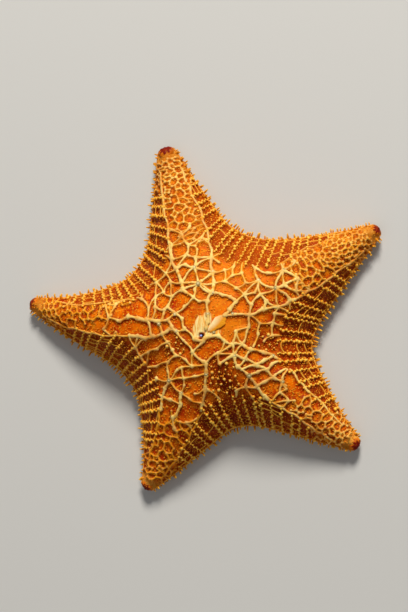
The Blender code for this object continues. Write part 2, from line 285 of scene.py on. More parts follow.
def surfaceTables(body):  # the smoothed body as a grid of points and normals for each half arm
    mesh, plan = body.data, unwrapPlan
    uv = np.zeros(len(mesh.loops) * 2, np.float32)
    mesh.uv_layers.active.data.foreach_get("uv", uv)
    uv = uv.reshape(-1, 2).astype(float)
    corners = np.zeros(len(mesh.loops), np.int32)
    mesh.loops.foreach_get("vertex_index", corners)
    kept = uv[:, 1] > plan["foot"] / 2
    strip = np.floor(uv[kept, 0] * 10).astype(int)
    row = np.rint((uv[kept, 0] * 10 - strip - plan["side"]) / plan["wide"] * 9 * fine).astype(int)
    station = np.rint((uv[kept, 1] - plan["foot"]) / plan["tall"] * 6 * fine).astype(int)
    index = np.zeros(tableSize, int)
    index[strip, station, row] = corners[kept]
    return pointsOf(mesh)[index], normalsOf(mesh)[index]


body = loftedBody()
tablePoints, tableNormals = surfaceTables(body)
print("body lofted:", len(body.data.polygons), "faces")


def onTable(table, half, station, row):  # the table's value at fractional stations and rows
    x = np.clip(np.asarray(station, float) * fine, 0, tableSize[1] - 1.001)
    y = np.clip(np.asarray(row, float) * fine, 0, tableSize[2] - 1.001)
    i, j = x.astype(int), y.astype(int)
    f, g = (x - i)[..., None], (y - j)[..., None]
    return ((1 - f) * (1 - g) * table[half, i, j] + f * (1 - g) * table[half, i + 1, j]
            + (1 - f) * g * table[half, i, j + 1] + f * g * table[half, i + 1, j + 1])


skinPlan = {  # how far the skin lies inside the frame, under the plates and spines
    "coatDepth": 1.35 * mm, "soleDepth": 0.55 * mm, "tipDepth": 0.7 * mm,
    "soleRows": (4.6, 5.8), "tipStations": (5.2, 5.9),  # where one depth eases into the next
    "voxel": 0.94 * mm, "evenedOut": 6,  # and how many passes smooth the remeshed skin
}


def skinDepth(row, station):
    depth = mixed(skinPlan["coatDepth"], skinPlan["soleDepth"], smooth(*skinPlan["soleRows"], row))
    return mixed(depth, np.minimum(depth, skinPlan["tipDepth"]), smooth(*skinPlan["tipStations"], station))


stations, rows = np.meshgrid(np.arange(tableSize[1]) / fine, np.arange(tableSize[2]) / fine, indexing="ij")
depths = np.broadcast_to(skinDepth(rows, stations), tableSize)
insetPoints = tablePoints - tableNormals * depths[..., None]

tableTree = treeOf(tablePoints.reshape(-1, 3))
alongTable = np.gradient(tablePoints, axis=1)  # metres for each step of the table
acrossTable = np.gradient(tablePoints, axis=2)


def locate(points):  # half arm, station and row of the body nearest each point
    nearest = np.array([tableTree.find(point)[1] for point in points])
    half, i, j = np.unravel_index(nearest, tableSize)
    away = points - tablePoints[half, i, j]
    a, b = alongTable[half, i, j], acrossTable[half, i, j]
    aa, ab, bb = (a * a).sum(-1), (a * b).sum(-1), (b * b).sum(-1)
    pa, pb = (away * a).sum(-1), (away * b).sum(-1)
    det = np.maximum(aa * bb - ab * ab, 1e-18)
    du = np.clip((pa * bb - pb * ab) / det, -0.7, 0.7)
    dv = np.clip((pb * aa - pa * ab) / det, -0.7, 0.7)
    return half, np.clip((i + du) / fine, 0, 6), np.clip((j + dv) / fine, 0, 9)


def makeSkin():  # the body drawn in by the coat's depth, remeshed evenly and smoothed
    mesh = body.data
    half, station, row = locate(pointsOf(mesh))
    inset = pointsOf(mesh) - normalsOf(mesh) * skinDepth(row, station)[:, None]
    mesh.vertices.foreach_set("co", inset.astype(np.float32).ravel())
    body.name = "skin"
    applied(body, "REMESH", mode="VOXEL", voxel_size=skinPlan["voxel"], adaptivity=0.0)
    applied(body, "SMOOTH", factor=0.5, iterations=skinPlan["evenedOut"])
    return body


skin = makeSkin()
skinPoints = pointsOf(skin.data)
skinNormals = normalsOf(skin.data)
skinBvh = BVHTree.FromObject(skin, bpy.context.evaluated_depsgraph_get())
print("skin:", len(skinPoints), "points")


def onSkin(points):  # the nearest places on the skin and their normals
    found = [skinBvh.find_nearest(point) for point in points]
    return np.array([f[0] for f in found]), np.array([f[1] for f in found])


netPlan = {  # the net of lime plates under the skin; lengths in millimetres
    "seed": 11,
    "meshPitch": ((0.42, 5.2), (0.60, 4.6), (0.75, 3.9), (0.88, 3.3), (1.0, 2.9)),  # at a share of the reach
    "meshAspect": ((0.42, 1.5), (0.65, 1.2), (0.8, 1.0)),  # width across the arm against length along it
    "meshSize": {"a": 1.36, "b": 1.32, "c": 0.86, "d": 0.98, "e": 1.18},
    "meshStart": {"a": 0.50, "b": 0.41, "c": 0.41, "d": 0.49, "e": 0.50},  # where the laid bars end
    "bandEnd": 0.925,  # share of the reach where the smooth cap starts
    "betweenPlates": 8.6,  # between the plates that fill the rest of the disc
    "fillRadius": 72.0, "fillTrials": 5000,
    "plateStray": 0.8,  # how far a laid plate may stray
    "ribLength": 20.0,  # in plan, inwards from the margin
    "samePlate": 1.5, "shortest": 1.3,  # plates or junctions nearer than this are one
    "ridgeWeight": {  # of the left and right ridge
        "a": (1.25, 1.25), "b": (1.35, 1.35), "c": (1.6, 1.6), "d": (0.7, 1.45), "e": (1.45, 1.45)},
    "ridgeCream": {"a": 0.3, "b": 0.6, "c": 0.95, "d": 0.75, "e": 0.85},  # how pale the ridges are
    "meshCream": {"a": 0.15, "b": 0.20, "c": 0.60, "d": 0.40, "e": 0.55},  # and the small meshes
    "meshShift": {"a": 0.5, "b": 0.5, "c": 0.18, "d": 0.5, "e": 0.5},  # of every other row; 0 is a ladder
    "meshWide": {"a": 1.0, "b": 1.0, "c": 1.75, "d": 1.0, "e": 1.1},
    "meshStray": {"a": 0.88, "b": 0.88, "c": 0.52, "d": 0.88, "e": 0.88},  # of each mesh's seed, in pitches
    "lost": 0.11,  # share of the small meshes' struts left out
    "longest": 11.0,
    "dropped": 0.34,  # share of the crossing struts left out, so that three-sided meshes open up
    "stitch": (0.5, 5.5),  # how near the two nets are joined
    "bow": 0.20, "wiggle": 0.07,  # shares of a strut's length
    "ridgeWave": 1.6, "ridgeEnd": 0.86,
}
bandShares = (0.10, 0.20, 0.30, 0.45, 0.60, 0.80, 0.95)
bandPlan = {  # the ridges that bound each arm's band, in millimetres left of its middle line
    "a": {"left": (4.0, 9.0, 13.0, 15.0, 13.5, 8.0, 4.6),
          "right": (-5.0, -9.0, -11.6, -11.6, -9.6, -7.0, -4.4)},
    "b": {"left": (4.5, 7.2, 8.2, 8.8, 8.8, 6.6, 4.4),
          "right": (-6.0, -13.0, -16.6, -14.8, -10.6, -7.0, -4.4)},
    "c": {"left": (1.0, 5.4, 8.3, 9.4, 8.0, 7.4, 4.4),
          "right": (-5.5, -12.6, -15.4, -16.6, -14.4, -9.0, -4.8)},
    "d": {"left": (3.0, 5.6, 8.2, 12.4, 13.4, 10.4, 5.6),
          "right": (0.5, -6.0, -10.6, -13.0, -12.0, -9.2, -4.8)},
    "e": {"left": (5.0, 10.0, 13.6, 14.6, 11.4, 7.6, 4.6),
          "right": (-2.0, -3.8, -5.0, -9.2, -6.8, -5.6, -4.2)},
}
# the bars between the plates on top of the disc, laid one by one: millimetres right of the hub and up from it
mainBars = {
    "c": (
        ((-23, 56), (-23, 46), (-19, 39), (-15, 30), (-14, 25), (-7, 20)),
        ((2, 56), (3, 46), (5, 37), (6, 29), (5, 23), (3, 17)), ((-12, 55), (-13, 49), (-19, 39)),
        ((-23, 46), (-13, 49), (-7, 47), (3, 46)), ((-19, 39), (-13, 42), (-7, 40), (-7, 47)),
        ((-15, 30), (-7, 40), (5, 37)), ((-7, 40), (3, 46)), ((-7, 40), (-4, 29), (-15, 30)),
        ((-14, 25), (-4, 29), (6, 29)), ((5, 37), (-4, 29), (5, 23)),
        ((-4, 29), (-6, 25), (-7, 20), (-3, 17), (3, 17)), ((5, 23), (0, 25), (-4, 29))),
    "apex": (
        ((3, 17), (3, 9), (3, 4), (2, -1)), ((14, 8), (19, 9), (30, 8)),
        ((-7, 20), (-13, 14), (-19, 9), (-14, 6), (-12, -1), (-6, -7)),
        ((5, 23), (12, 21), (17, 20), (21, 17), (17, 12), (14, 8)), ((30, 8), (29, 0), (25, -11)),
        ((-6, -7), (0, -9), (3, -6), (10, -5), (14, -9), (19, -11), (25, -12)), ((0, -9), (-7, -16)),
        ((-18, -2), (-13, -8), (-7, -16)), ((-12, -1), (-18, -2)),
        ((-19, 9), (-24, 5), (-21, 1), (-18, -2)), ((-19, 9), (-24, 14), (-22, 21), (-14, 25)),
        ((-24, 14), (-27, 12), (-33, 14), (-33, 21), (-28, 24), (-22, 21)), ((-27, 12), (-28, 5)),
        ((-33, 14), (-35, 6))),
    "b": (
        ((-52, 8), (-45, 7), (-38, 6), (-31, 5), (-24, 5)),
        ((-51, -4), (-45, -5), (-40, -6), (-34, -5), (-28, -4), (-23, -1), (-18, -2)),
        ((-31, 5), (-28, -4)), ((-38, 6), (-36, -5)), ((-33, 21), (-38, 14), (-38, 6)),
        ((-38, 14), (-44, 20), (-52, 20))),
    "c to d": (
        ((6, 29), (13, 30), (21, 26), (26, 21), (21, 17)), ((13, 30), (12, 38), (5, 37)),
        ((12, 38), (18, 41), (20, 48), (14, 54), (8, 51), (3, 46)), ((13, 30), (18, 34), (18, 41)),
        ((18, 34), (24, 36), (27, 29), (21, 26)), ((27, 29), (35, 31)),
        ((24, 36), (24, 44), (23, 53), (20, 48)), ((23, 53), (30, 52), (36, 48), (32, 39)),
        ((3, 46), (8, 43))),
    "d": (
        ((26, 21), (35, 31), (32, 39), (28, 46), (23, 53)), ((26, 21), (31, 15), (30, 8)),
        ((30, 8), (39, 12), (48, 14), (55, 18), (62, 20)),
        ((35, 31), (46, 26), (52, 28), (60, 32), (59, 24), (62, 20)), ((35, 31), (37, 22), (31, 15)),
        ((37, 22), (40, 18), (39, 12)), ((40, 18), (48, 14)), ((48, 14), (46, 26), (37, 22)),
        ((46, 26), (55, 18)), ((46, 26), (51, 38), (60, 32)), ((51, 38), (52, 28), (59, 24)),
        ((51, 38), (41, 36), (32, 39)), ((51, 38), (46, 45), (36, 48)), ((26, 21), (33, 23), (35, 31)),
        ((51, 38), (58, 44))),
    "d to e": (
        ((30, 8), (36, 3), (44, 4), (53, 2)), ((48, 14), (45, 9), (44, 4)), ((35, -4), (32, -12)),
        ((36, 3), (35, -4)), ((44, 4), (43, -5), (38, -9)), ((43, -5), (51, -3))),
    "e": (
        ((25, -11), (31, -14), (38, -16), (44, -18), (49, -21), (53, -26), (56, -30)),
        ((10, -23), (20, -18), (27, -20), (34, -24), (40, -27), (44, -32), (50, -35)),
        ((20, -18), (22, -25), (29, -31), (34, -38), (38, -44), (43, -48)), ((20, -18), (18, -11)),
        ((20, -18), (25, -11)), ((27, -20), (31, -14)), ((24, -27), (34, -24), (39, -21), (44, -18)),
        ((29, -31), (34, -29), (40, -27), (44, -23), (49, -21)), ((44, -32), (39, -35), (34, -38)),
        ((50, -35), (53, -26)), ((50, -35), (48, -42), (43, -48)), ((27, -20), (22, -25)),
        ((44, -32), (49, -28), (53, -26))),
    "a": (
        ((-7, -16), (1, -23), (1, -30), (0, -39), (-3, -49), (-5, -57)), ((0, -39), (7, -45), (12, -53)),
        ((0, -39), (-7, -43)), ((-24, -34), (-14, -33), (-7, -31), (1, -30)),
        ((-24, -34), (-18, -27), (-15, -26), (-13, -33)), ((-24, -34), (-25, -28), (-24, -22)),
        ((-24, -34), (-16, -42), (-14, -37), (-14, -33)), ((-16, -42), (-11, -46), (-3, -49), (5, -54)),
        ((-16, -42), (-17, -50), (-23, -58)), ((-24, -34), (-28, -39), (-30, -45), (-32, -53)),
        ((-34, -33), (-24, -34)), ((-8, -25), (1, -23)), ((-8, -25), (-7, -16)), ((-8, -25), (-15, -26)),
        ((-28, -4), (-24, -9), (-21, -14), (-18, -18), (-12, -21), (-8, -25)),
        ((-18, -18), (-24, -22), (-33, -25)), ((-17, -50), (-24, -47), (-30, -45)),
        ((-24, -9), (-32, -13), (-38, -15))),
}
boldBars = {  # the ones that stand up as ridges
    "c": (0, 1), "b": (0, 1), "apex": (0, 3, 5), "d": (2,), "e": (0, 1, 2), "a": (0, 8, 9)}
quietBars = {"c to d": -0.15, "d to e": -0.10, "a": -0.12}  # thinner and less pale than the rest
openCells = (  # kept free of filling plates: millimetres right of the hub, up from it, and the radius
    (0, 4, 20), (12, -31, 12), (12, 46, 8), (-20, -12, 8), (-14, 38, 10), (-8, -34, 8),
    (40, 40, 8), (-2, 52, 8), (30, -25, 8), (42, 20, 14), (31, -6, 7))
random = np.random.default_rng(netPlan["seed"])


def readOff(pairs, share):
    xs, ys = zip(*pairs)
    return np.interp(share, xs, ys)


def bandEdge(arm, which, share):
    return np.interp(share, bandShares, bandPlan[arm][which])


def armShare(arm, points):  # each point's share of the reach and distance left of the middle line, in plan
    shares = np.linspace(0, 1, 101)
    ends = np.array([axisPoint(arm, t) for t in shares])[:, :2]
    sides = np.array([axisSide(arm, t) for t in shares])[:, :2]
    away = points[:, None, :2] - hub[:2] - ends[None]
    nearest = np.linalg.norm(away, axis=-1).argmin(1)
    across = (away[np.arange(len(points)), nearest] * sides[nearest]).sum(-1)
    return nearest / 100, across


def inPlan(arm, share, left):  # a place in plan from its share along an arm and its millimetres to the left
    return (hub + axisPoint(arm, share) + axisSide(arm, share) * left * mm)[:2]


def mainNet():  # the bars as junctions and struts, ends that fall together made one
    places, struts = [], []

    def plate(place):
        for n, other in enumerate(places):
            if math.dist(place, other) < netPlan["samePlate"]:
                return n
        places.append(place)
        return len(places) - 1

    for region, bars in mainBars.items():
        for number, bar in enumerate(bars):
            bold = 1.0 if number in boldBars.get(region, ()) else quietBars.get(region, 0.25)
            index = [plate(place) for place in bar]
            struts += [(one, other, bold) for one, other in zip(index, index[1:])]
    places = hub[:2] + np.array(places, float) * mm
    return places + (random.random(places.shape) - 0.5) * netPlan["plateStray"] * mm, struts


def fillingPlates(taken):  # plates that fill the rest of the disc evenly
    plates = list(taken)
    gap = netPlan["betweenPlates"] * mm
    cells = [(hub[:2] + np.array((x, y)) * mm, radius * mm) for x, y, radius in openCells]
    for trial in range(netPlan["fillTrials"]):
        degrees, distance = random.random() * 360, math.sqrt(random.random()) * netPlan["fillRadius"] * mm
        place = (hub + bearing(degrees) * distance)[:2]
        if min(np.hypot(*(place - centre)) - radius for centre, radius in cells) < 0:
            continue
        if min(np.hypot(*(place - p)) for p in plates) > gap * 0.78:
            plates.append(place)
    return np.array(plates)


def triangulated(places):
    corners, _, triangles = geometry.delaunay_2d_cdt([Vector(p) for p in places], [], [], 0, 1e-7)[:3]
    return np.array([tuple(c) for c in corners]), np.array([tuple(t) for t in triangles])


def crosses(a, b, starts, ends):  # whether the line from a to b cuts any of the given lines
    def turn(p, q, r):
        (x, y), (across, up) = (q - p).T, (r - p).T
        return x * up - y * across

    tiny = -1e-14
    return ((turn(a, b, starts) * turn(a, b, ends) < tiny)
            & (turn(starts, ends, a) * turn(starts, ends, b) < tiny)).any()


def sidesOf(triangles):  # each side of the triangles, with the triangles that share it
    sides = {}
    for n, triangle in enumerate(triangles):
        for k in range(3):
            side = tuple(sorted((int(triangle[k]), int(triangle[(k + 1) % 3]))))
            sides.setdefault(side, []).append(n)
    return sides


def trussNet():  # the main bars, then struts between neighbouring filling plates, some crossing ones left out
    main, bars = mainNet()
    plates = fillingPlates(main)
    corners, triangles = triangulated(plates)
    starts, ends = main[[bar[0] for bar in bars]], main[[bar[1] for bar in bars]]
    kept = list(bars)
    for (one, other), near in sorted(sidesOf(triangles).items()):
        a, b = plates[one], plates[other]
        length = np.hypot(*(b - a))
        if other < len(main) or length > netPlan["longest"] * mm or crosses(a, b, starts, ends):
            continue
        reaches = [
            max(np.hypot(*(plates[t[k]] - plates[t[k - 1]])) for k in range(3)) for t in triangles[near]]
        longest = sum(length > reach * 0.97 for reach in reaches)
        if not (longest and random.random() < netPlan["dropped"] * longest):
            kept.append((one, other, 0.0))
    return plates, kept


def roundNet():  # the small round meshes of the arms: the outlines between evenly strewn seeds
    seeds = []
    for arm in armNames:
        reach = armPlan[arm][2] * 1000
        along = (netPlan["meshStart"][arm] - 0.03) * reach
        odd = 0
        while along < 1.02 * reach:
            share = along / reach
            pitch = float(readOff(netPlan["meshPitch"], share)) * netPlan["meshSize"][arm]
            aspect = float(readOff(netPlan["meshAspect"], share)) * netPlan["meshWide"][arm]
            wide = halfWidth(arm, share) * 1000 + pitch
            count = max(3, int(round(2 * wide / (pitch * aspect))))
            for k in range(count + 1):
                left = -wide + (k + netPlan["meshShift"][arm] * odd) * 2 * wide / count
                shift = (random.random(2) - 0.5) * pitch * netPlan["meshStray"][arm]
                seeds.append(inPlan(arm, share + shift[0] / reach, left + shift[1] * aspect))
            along += pitch * 0.90
            odd = 1 - odd
    corners, triangles = triangulated(seeds)
    a, b, c = (corners[triangles[:, k]] for k in range(3))
    junctions = (a + b + c) / 3
    largest = np.max([np.linalg.norm(p - q, axis=1) for p, q in ((a, b), (b, c), (c, a))], axis=0)
    longest = netPlan["longest"] * mm
    struts = sorted(tuple(near) for near in sidesOf(triangles).values()
                    if len(near) == 2 and max(largest[near[0]], largest[near[1]]) < longest)
    merged = list(range(len(junctions)))

    def root(n):
        while merged[n] != n:
            n = merged[n]
        return n

    for one, other in struts:
        if np.linalg.norm(junctions[one] - junctions[other]) < netPlan["shortest"] * mm:
            merged[root(one)] = root(other)
    roots = [root(n) for n in range(len(junctions))]
    return junctions, sorted({tuple(sorted((roots[one], roots[other]))) for one, other in struts
                              if roots[one] != roots[other]})


def wholeNet():  # both nets as one list of junctions and struts, stitched where they meet
    places, struts = trussNet()
    rounds, meshes = roundNet()
    shareOf = np.zeros(len(rounds))
    start = np.zeros(len(rounds))
    for arm in armNames:
        share, left = armShare(arm, rounds)
        here = (share > 0.3) & (np.abs(left) < 0.03)
        shareOf[here], start[here] = share[here], netPlan["meshStart"][arm]
    used = shareOf > start - 0.01
    meshes = [pair for pair in meshes if random.random() > netPlan["lost"]]
    base = len(places)
    struts = [(one, other, bold, 0.0) for one, other, bold in struts]
    struts += [(one + base, other + base, 0.0, 1.0) for one, other in meshes if used[one] and used[other]]
    touched = sorted({n for strut in struts for n in strut[:2] if n >= base})
    tree = treeOf([(*rounds[n - base], 0) for n in touched], touched)
    nearest, farthest = netPlan["stitch"]
    for n, place in enumerate(places):
        for found, index, distance in tree.find_n((*place, 0), 2):
            if nearest * mm < distance < farthest * mm:
                struts.append((n, index, 0.0, 0.5))
    return np.concatenate([places, rounds]), struts


def zoneRows():  # for each half arm and station, the row where the net ends and the ribs of the flank start
    tops = np.zeros(tableSize[:2])
    marginRow = 4 * fine
    for half, (arm, side) in enumerate(halfArms):
        which = "left" if side > 0 else "right"
        for i in range(tableSize[1]):
            line = tablePoints[half, i, :marginRow + 1]
            share, away = armShare(arm, line)
            outside = away * 1000 * side - bandEdge(arm, which, share) * side
            crossing = np.nonzero(outside > 0)[0]
            bandRow = crossing[0] if len(crossing) else marginRow
            if len(crossing) and bandRow > 0:
                bandRow -= outside[bandRow] / (outside[bandRow] - outside[bandRow - 1])
            fromMargin = np.linalg.norm(line[:, :2] - line[-1, :2], axis=1)
            ribRow = np.interp(-netPlan["ribLength"] * mm, -fromMargin, np.arange(marginRow + 1))
            row = max(bandRow, ribRow) / fine
            tops[half, i] = mixed(row, 3.9, smooth(3.1, 4.0, i / fine))
    return tops


netTops = zoneRows()


def topRow(half, station):
    x = np.clip(np.asarray(station, float) * fine, 0, tableSize[1] - 1.001)
    i = x.astype(int)
    return netTops[half, i] * (1 - x + i) + netTops[half, i + 1] * (x - i)


def lifted(plan):  # places in plan brought down onto the skin
    hits = [skinBvh.ray_cast((p[0], p[1], 0.1), (0, 0, -1)) for p in plan]
    good = np.array([h[0] is not None for h in hits])
    points = np.array([h[0] if h[0] is not None else (0, 0, 0) for h in hits])
    normals = np.array([h[1] if h[1] is not None else (0, 0, 1) for h in hits])
    return points, normals, good


def ridgeLines():  # the bold ridges that carry on along both sides of each arm's band
    lines = []
    for arm in armNames:
        for which, weight in zip(("left", "right"), netPlan["ridgeWeight"][arm]):
            shares = np.linspace(netPlan["meshStart"][arm] - 0.03, netPlan["ridgeEnd"], 60)
            stray = (random.random(12) - 0.5) * netPlan["ridgeWave"]
            wave = np.interp(np.arange(60), np.arange(0, 60, 5), stray)
            edge = bandEdge(arm, which, shares) + wave
            points, normals, good = lifted(np.array([inPlan(arm, t, left) for t, left in zip(shares, edge)]))
            lines.append({"points": points[good], "normals": normals[good], "open": (0, 0),
                          "weight": weight, "cream": netPlan["ridgeCream"][arm]})
    return lines


ridges = ridgeLines()


def shareAlong(points, half):  # each point's share of the reach of its own arm
    share = np.zeros(len(points))
    for n, arm in enumerate(armNames):
        of = half // 2 == n
        share[of] = armShare(arm, points[of])[0]
    return share


def netStruts():  # the struts of the upper net as lines on the skin, cut off where the ribs start
    junctions, struts = wholeNet()
    lines = []
    for one, other, bold, small in struts:
        a, b = junctions[one], junctions[other]
        length = np.linalg.norm(b - a)
        steps = max(3, int(round(length / (1.0 * mm))) + 1)
        t = np.linspace(0, 1, steps)[:, None]
        bow = (random.random() - 0.5) * netPlan["bow"] * length
        wiggle = (random.random() - 0.5) * netPlan["wiggle"] * length
        weight = 0.62 + 0.55 * random.random() ** 1.5
        across = np.array((-(b - a)[1], (b - a)[0])) / max(length, 1e-9)
        plan = a + (b - a) * t + across * (bow * np.sin(np.pi * t) + wiggle * np.sin(2 * np.pi * t))
        points, normals, good = lifted(plan)
        half, station, row = locate(points)
        share = shareAlong(points, half)
        inside = np.nonzero(good & (row < topRow(half, station) + 0.05) & (share < netPlan["bandEnd"]))[0]
        if len(inside) < 2:
            continue
        run = max(np.split(inside, np.nonzero(np.diff(inside) > 1)[0] + 1), key=len)
        if len(run) >= 2:
            weight = mixed(mixed(weight, 1.5, bold), 0.48 + 0.45 * random.random() ** 2, small)
            meshCream = netPlan["meshCream"][armNames[half[len(half) // 2] // 2]]
            whole = run[0] == 0, run[-1] == steps - 1  # whether each end reaches its junction
            lines.append({"points": points[run], "normals": normals[run], "weight": weight, "small": small,
                          "cream": mixed(np.clip(0.75 + bold, 0.55, 1.0), meshCream, small),
                          "open": (float(whole[0]), float(whole[1])),
                          "ends": (one if whole[0] else -1, other if whole[1] else -1)})
    degree, creamOf = {}, {}
    for line in lines:
        for end in line["ends"]:
            degree[end] = degree.get(end, 0) + line["weight"]
            creamOf[end] = line["cream"]
    used = sorted(end for end in degree if end >= 0)
    return lines, used, junctions, degree, creamOf


upperLines, usedJunctions, junctions, degree, creamOf = netStruts()
print("upper net:", len(upperLines), "struts", len(usedJunctions), "junctions")


def alongLength(half, row):  # distance from the notch line along the body at one row
    i = np.arange(tableSize[1])
    return runOf(onTable(tablePoints, half, i / fine, np.full(len(i), row)))


def insetLine(half, station, row):  # a line given by stations and rows, laid on the skin
    half = np.full(len(np.atleast_1d(station)), half)
    return onSkin(onTable(insetPoints, half, station, row))


flankPlan = {  # lengths in millimetres, rows and stations of the body's plan
    "pitch": 6.1, "bead": 2.15,  # between ribs, and between the beads of a rib
    "lastStation": 4.55, "foot": 3.95, "shortest": 0.25,  # the last two in rows
    "zigzag": 0.36, "stray": 0.35, "wander": 0.7,
    "linked": 0.28, "lastLink": 3.8,  # share of the cross links that are there, and the row where they end
    "edgeEnd": 5.5,
}


def flankRibs():  # zigzag ribs from the net's edge down to the margin, with cross links
    plan = flankPlan
    ribs, links, edges = [], [], []
    for half in range(10):
        distance = alongLength(half, 3.0)
        total = np.interp(plan["lastStation"] * fine, np.arange(tableSize[1]), distance)
        count = int(round(total / (plan["pitch"] * mm)))
        at = [(k + 0.5 + (random.random() - 0.5) * 0.5) * total / count for k in range(count)]
        placesAt = np.interp(at, distance, np.arange(tableSize[1])) / fine
        perStation = np.gradient(distance)  # metres for each table step along
        made = []
        for station in placesAt:
            top = float(topRow(half, station)) - 0.02 + (random.random() - 0.5) * 0.06
            if plan["foot"] - top < plan["shortest"]:
                made.append(None)
                continue
            rowsAt = np.linspace(top, plan["foot"], 60)
            run = runOf(onTable(tablePoints, np.full(60, half), np.full(60, station), rowsAt))
            steps = max(3, int(round(run[-1] / (plan["bead"] * mm))) + 1)
            row = np.interp(np.linspace(0, run[-1], steps), run, rowsAt)
            metres = max(perStation[min(int(station * fine), tableSize[1] - 2)] * fine, 1e-4)
            wander = np.cumsum((random.random(steps) - 0.5) * plan["wander"])
            zig = np.where(np.arange(steps) % 2 == 0, plan["zigzag"], -plan["zigzag"])
            zig = zig + (random.random(steps) - 0.5) * plan["stray"] + wander * 0.35
            zig[0] *= 0.4
            across = np.clip(station + zig * mm / metres, 0.0, 6)
            points, normals = insetLine(half, across, row)
            made.append((across, row))
            ribs.append({"points": points, "normals": normals})
        for one, other in zip(made, made[1:]):
            if one is None or other is None:
                continue
            low = max(one[1][0], other[1][0])
            row = low + random.random() * 0.5
            while row < plan["lastLink"]:
                lean = (random.random() - 0.5) * 0.35
                t = np.linspace(0, 1, 5)
                bow = np.sin(np.pi * t) * (random.random() - 0.5) * 0.15
                rowLine = np.clip(row + lean * (t - 0.5) + bow, low, plan["foot"])
                ends = [np.interp(rowLine[k], rib[1], rib[0]) for k, rib in ((0, one), (-1, other))]
                if random.random() < plan["linked"]:
                    points, normals = insetLine(half, mixed(*ends, t), rowLine)
                    links.append({"points": points, "normals": normals})
                row += (0.36 + random.random() * 0.34) * (1.0 if one[1][0] > 1.5 else 0.62)
        stations = np.linspace(0, plan["edgeEnd"], 110)
        points, normals = insetLine(half, stations, np.full(110, plan["foot"]))
        edges.append({"points": points, "normals": normals, "open": (0, 0)})
    return ribs, links, edges


ribs, links, edges = flankRibs()
print("flanks:", len(ribs), "ribs", len(links), "links")


def resampled(line, step):  # the same line with points an even step apart
    points, normals = line["points"], line["normals"]
    run = runOf(points)
    count = max(3, int(round(run[-1] / step)) + 1)
    at = np.linspace(0, run[-1], count)
    return (np.stack([np.interp(at, run, points[:, k]) for k in range(3)], -1),
            unit(np.stack([np.interp(at, run, normals[:, k]) for k in range(3)], -1)))


def netDistance(lines):  # distance from each point of the skin to the nearest line
    tree = treeOf(np.concatenate([resampled(line, 0.5 * mm)[0] for line in lines]))
    return np.array([tree.find(point)[2] for point in skinPoints])


reliefPlan = {  # how the net shows in the skin itself
    "ridge": 0.55 * mm, "ridgeWidth": 1.15 * mm,
    "ribRidge": 0.45 * mm, "ribWidth": 0.95 * mm,
    "sunk": 0.75 * mm, "sunkFrom": 0.6 * mm, "sunkAt": 2.2 * mm,  # the cells, and how far from the net
}
low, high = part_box("madreporite")
apexPlan = {  # the middle of the disc; places right of the hub and up from it in millimetres
    "pore": hub + bearing(-105) * 5.3 * mm,
    "poreRadius": 1.7 * mm, "poreDepth": 2.4 * mm, "poreRim": 0.6 * mm,
    "pale": (((-5, -5), (-5, 0), (-2, 6)), ((-1, -1), (0, 4), (2, 8)), ((3, -5), (3, 8)),
             ((4, -4), (8, 1), (13, 6)), ((5, -3), (9, -3))),  # smooth pale flames round the pore
    "paleWidth": 2.5 * mm,
    "golden": (((13, -2), (23, 0)),), "goldenWidth": 8.5 * mm,  # the smoothest, most golden cell
    "dark": (((10, -26), (16, -40)), ((-18, -10), (-24, -14)), ((38, -8), (44, -10))),  # open corners
    "darkWidth": 9.0 * mm,
    "sievePlate": np.array(((low.x + high.x) / 2 - 0.2 * mm, (low.y + high.y) / 2 - 0.9 * mm, 0.0)),
    "sieveBearing": 42.0,
}
upperNet = upperLines + ridges + edges
toNet = netDistance(upperNet)
toRibs = netDistance(ribs + links)
skinHalf, skinStation, skinRow = locate(skinPoints)
skinTop = topRow(skinHalf, skinStation)
onFlank = smooth(-0.12, 0.12, skinRow - skinTop) * (1 - smooth(3.95, 4.15, skinRow))
upperSide = 1 - smooth(3.9, 4.2, skinRow)
netRise = np.exp(-(toNet / reliefPlan["ridgeWidth"]) ** 2)
ribRise = np.exp(-(toRibs / reliefPlan["ribWidth"]) ** 2)
rise = np.maximum(netRise * reliefPlan["ridge"], ribRise * reliefPlan["ribRidge"])
fromNet = np.minimum(toNet, toRibs)
sunken = reliefPlan["sunk"] * smooth(reliefPlan["sunkFrom"], reliefPlan["sunkAt"], fromNet) * upperSide
fromPore = np.linalg.norm((skinPoints - apexPlan["pore"])[:, :2], axis=1)
nearSide = upperSide * (skinRow < 3)
pit = nearSide * apexPlan["poreDepth"] * (1 - smooth(0.35, 1.25, fromPore / apexPlan["poreRadius"]))
rim = nearSide * apexPlan["poreRim"] * np.exp(-((fromPore / apexPlan["poreRadius"] - 1.45) / 0.35) ** 2)


def patchShare(lines, width):  # 1 on the lines, easing to 0 at the given distance
    away = np.full(len(skinPoints), 1.0)
    plan = (skinPoints - hub)[:, :2]
    for line in lines:
        for start, end in zip(line, line[1:]):
            start, end = np.array(start) * mm, np.array(end) * mm
            t = np.clip((plan - start) @ (end - start) / ((end - start) @ (end - start)), 0, 1)
            away = np.minimum(away, np.linalg.norm(plan - start - t[:, None] * (end - start), axis=1))
    return (1 - smooth(0.25, 1.25, away / width)) * nearSide


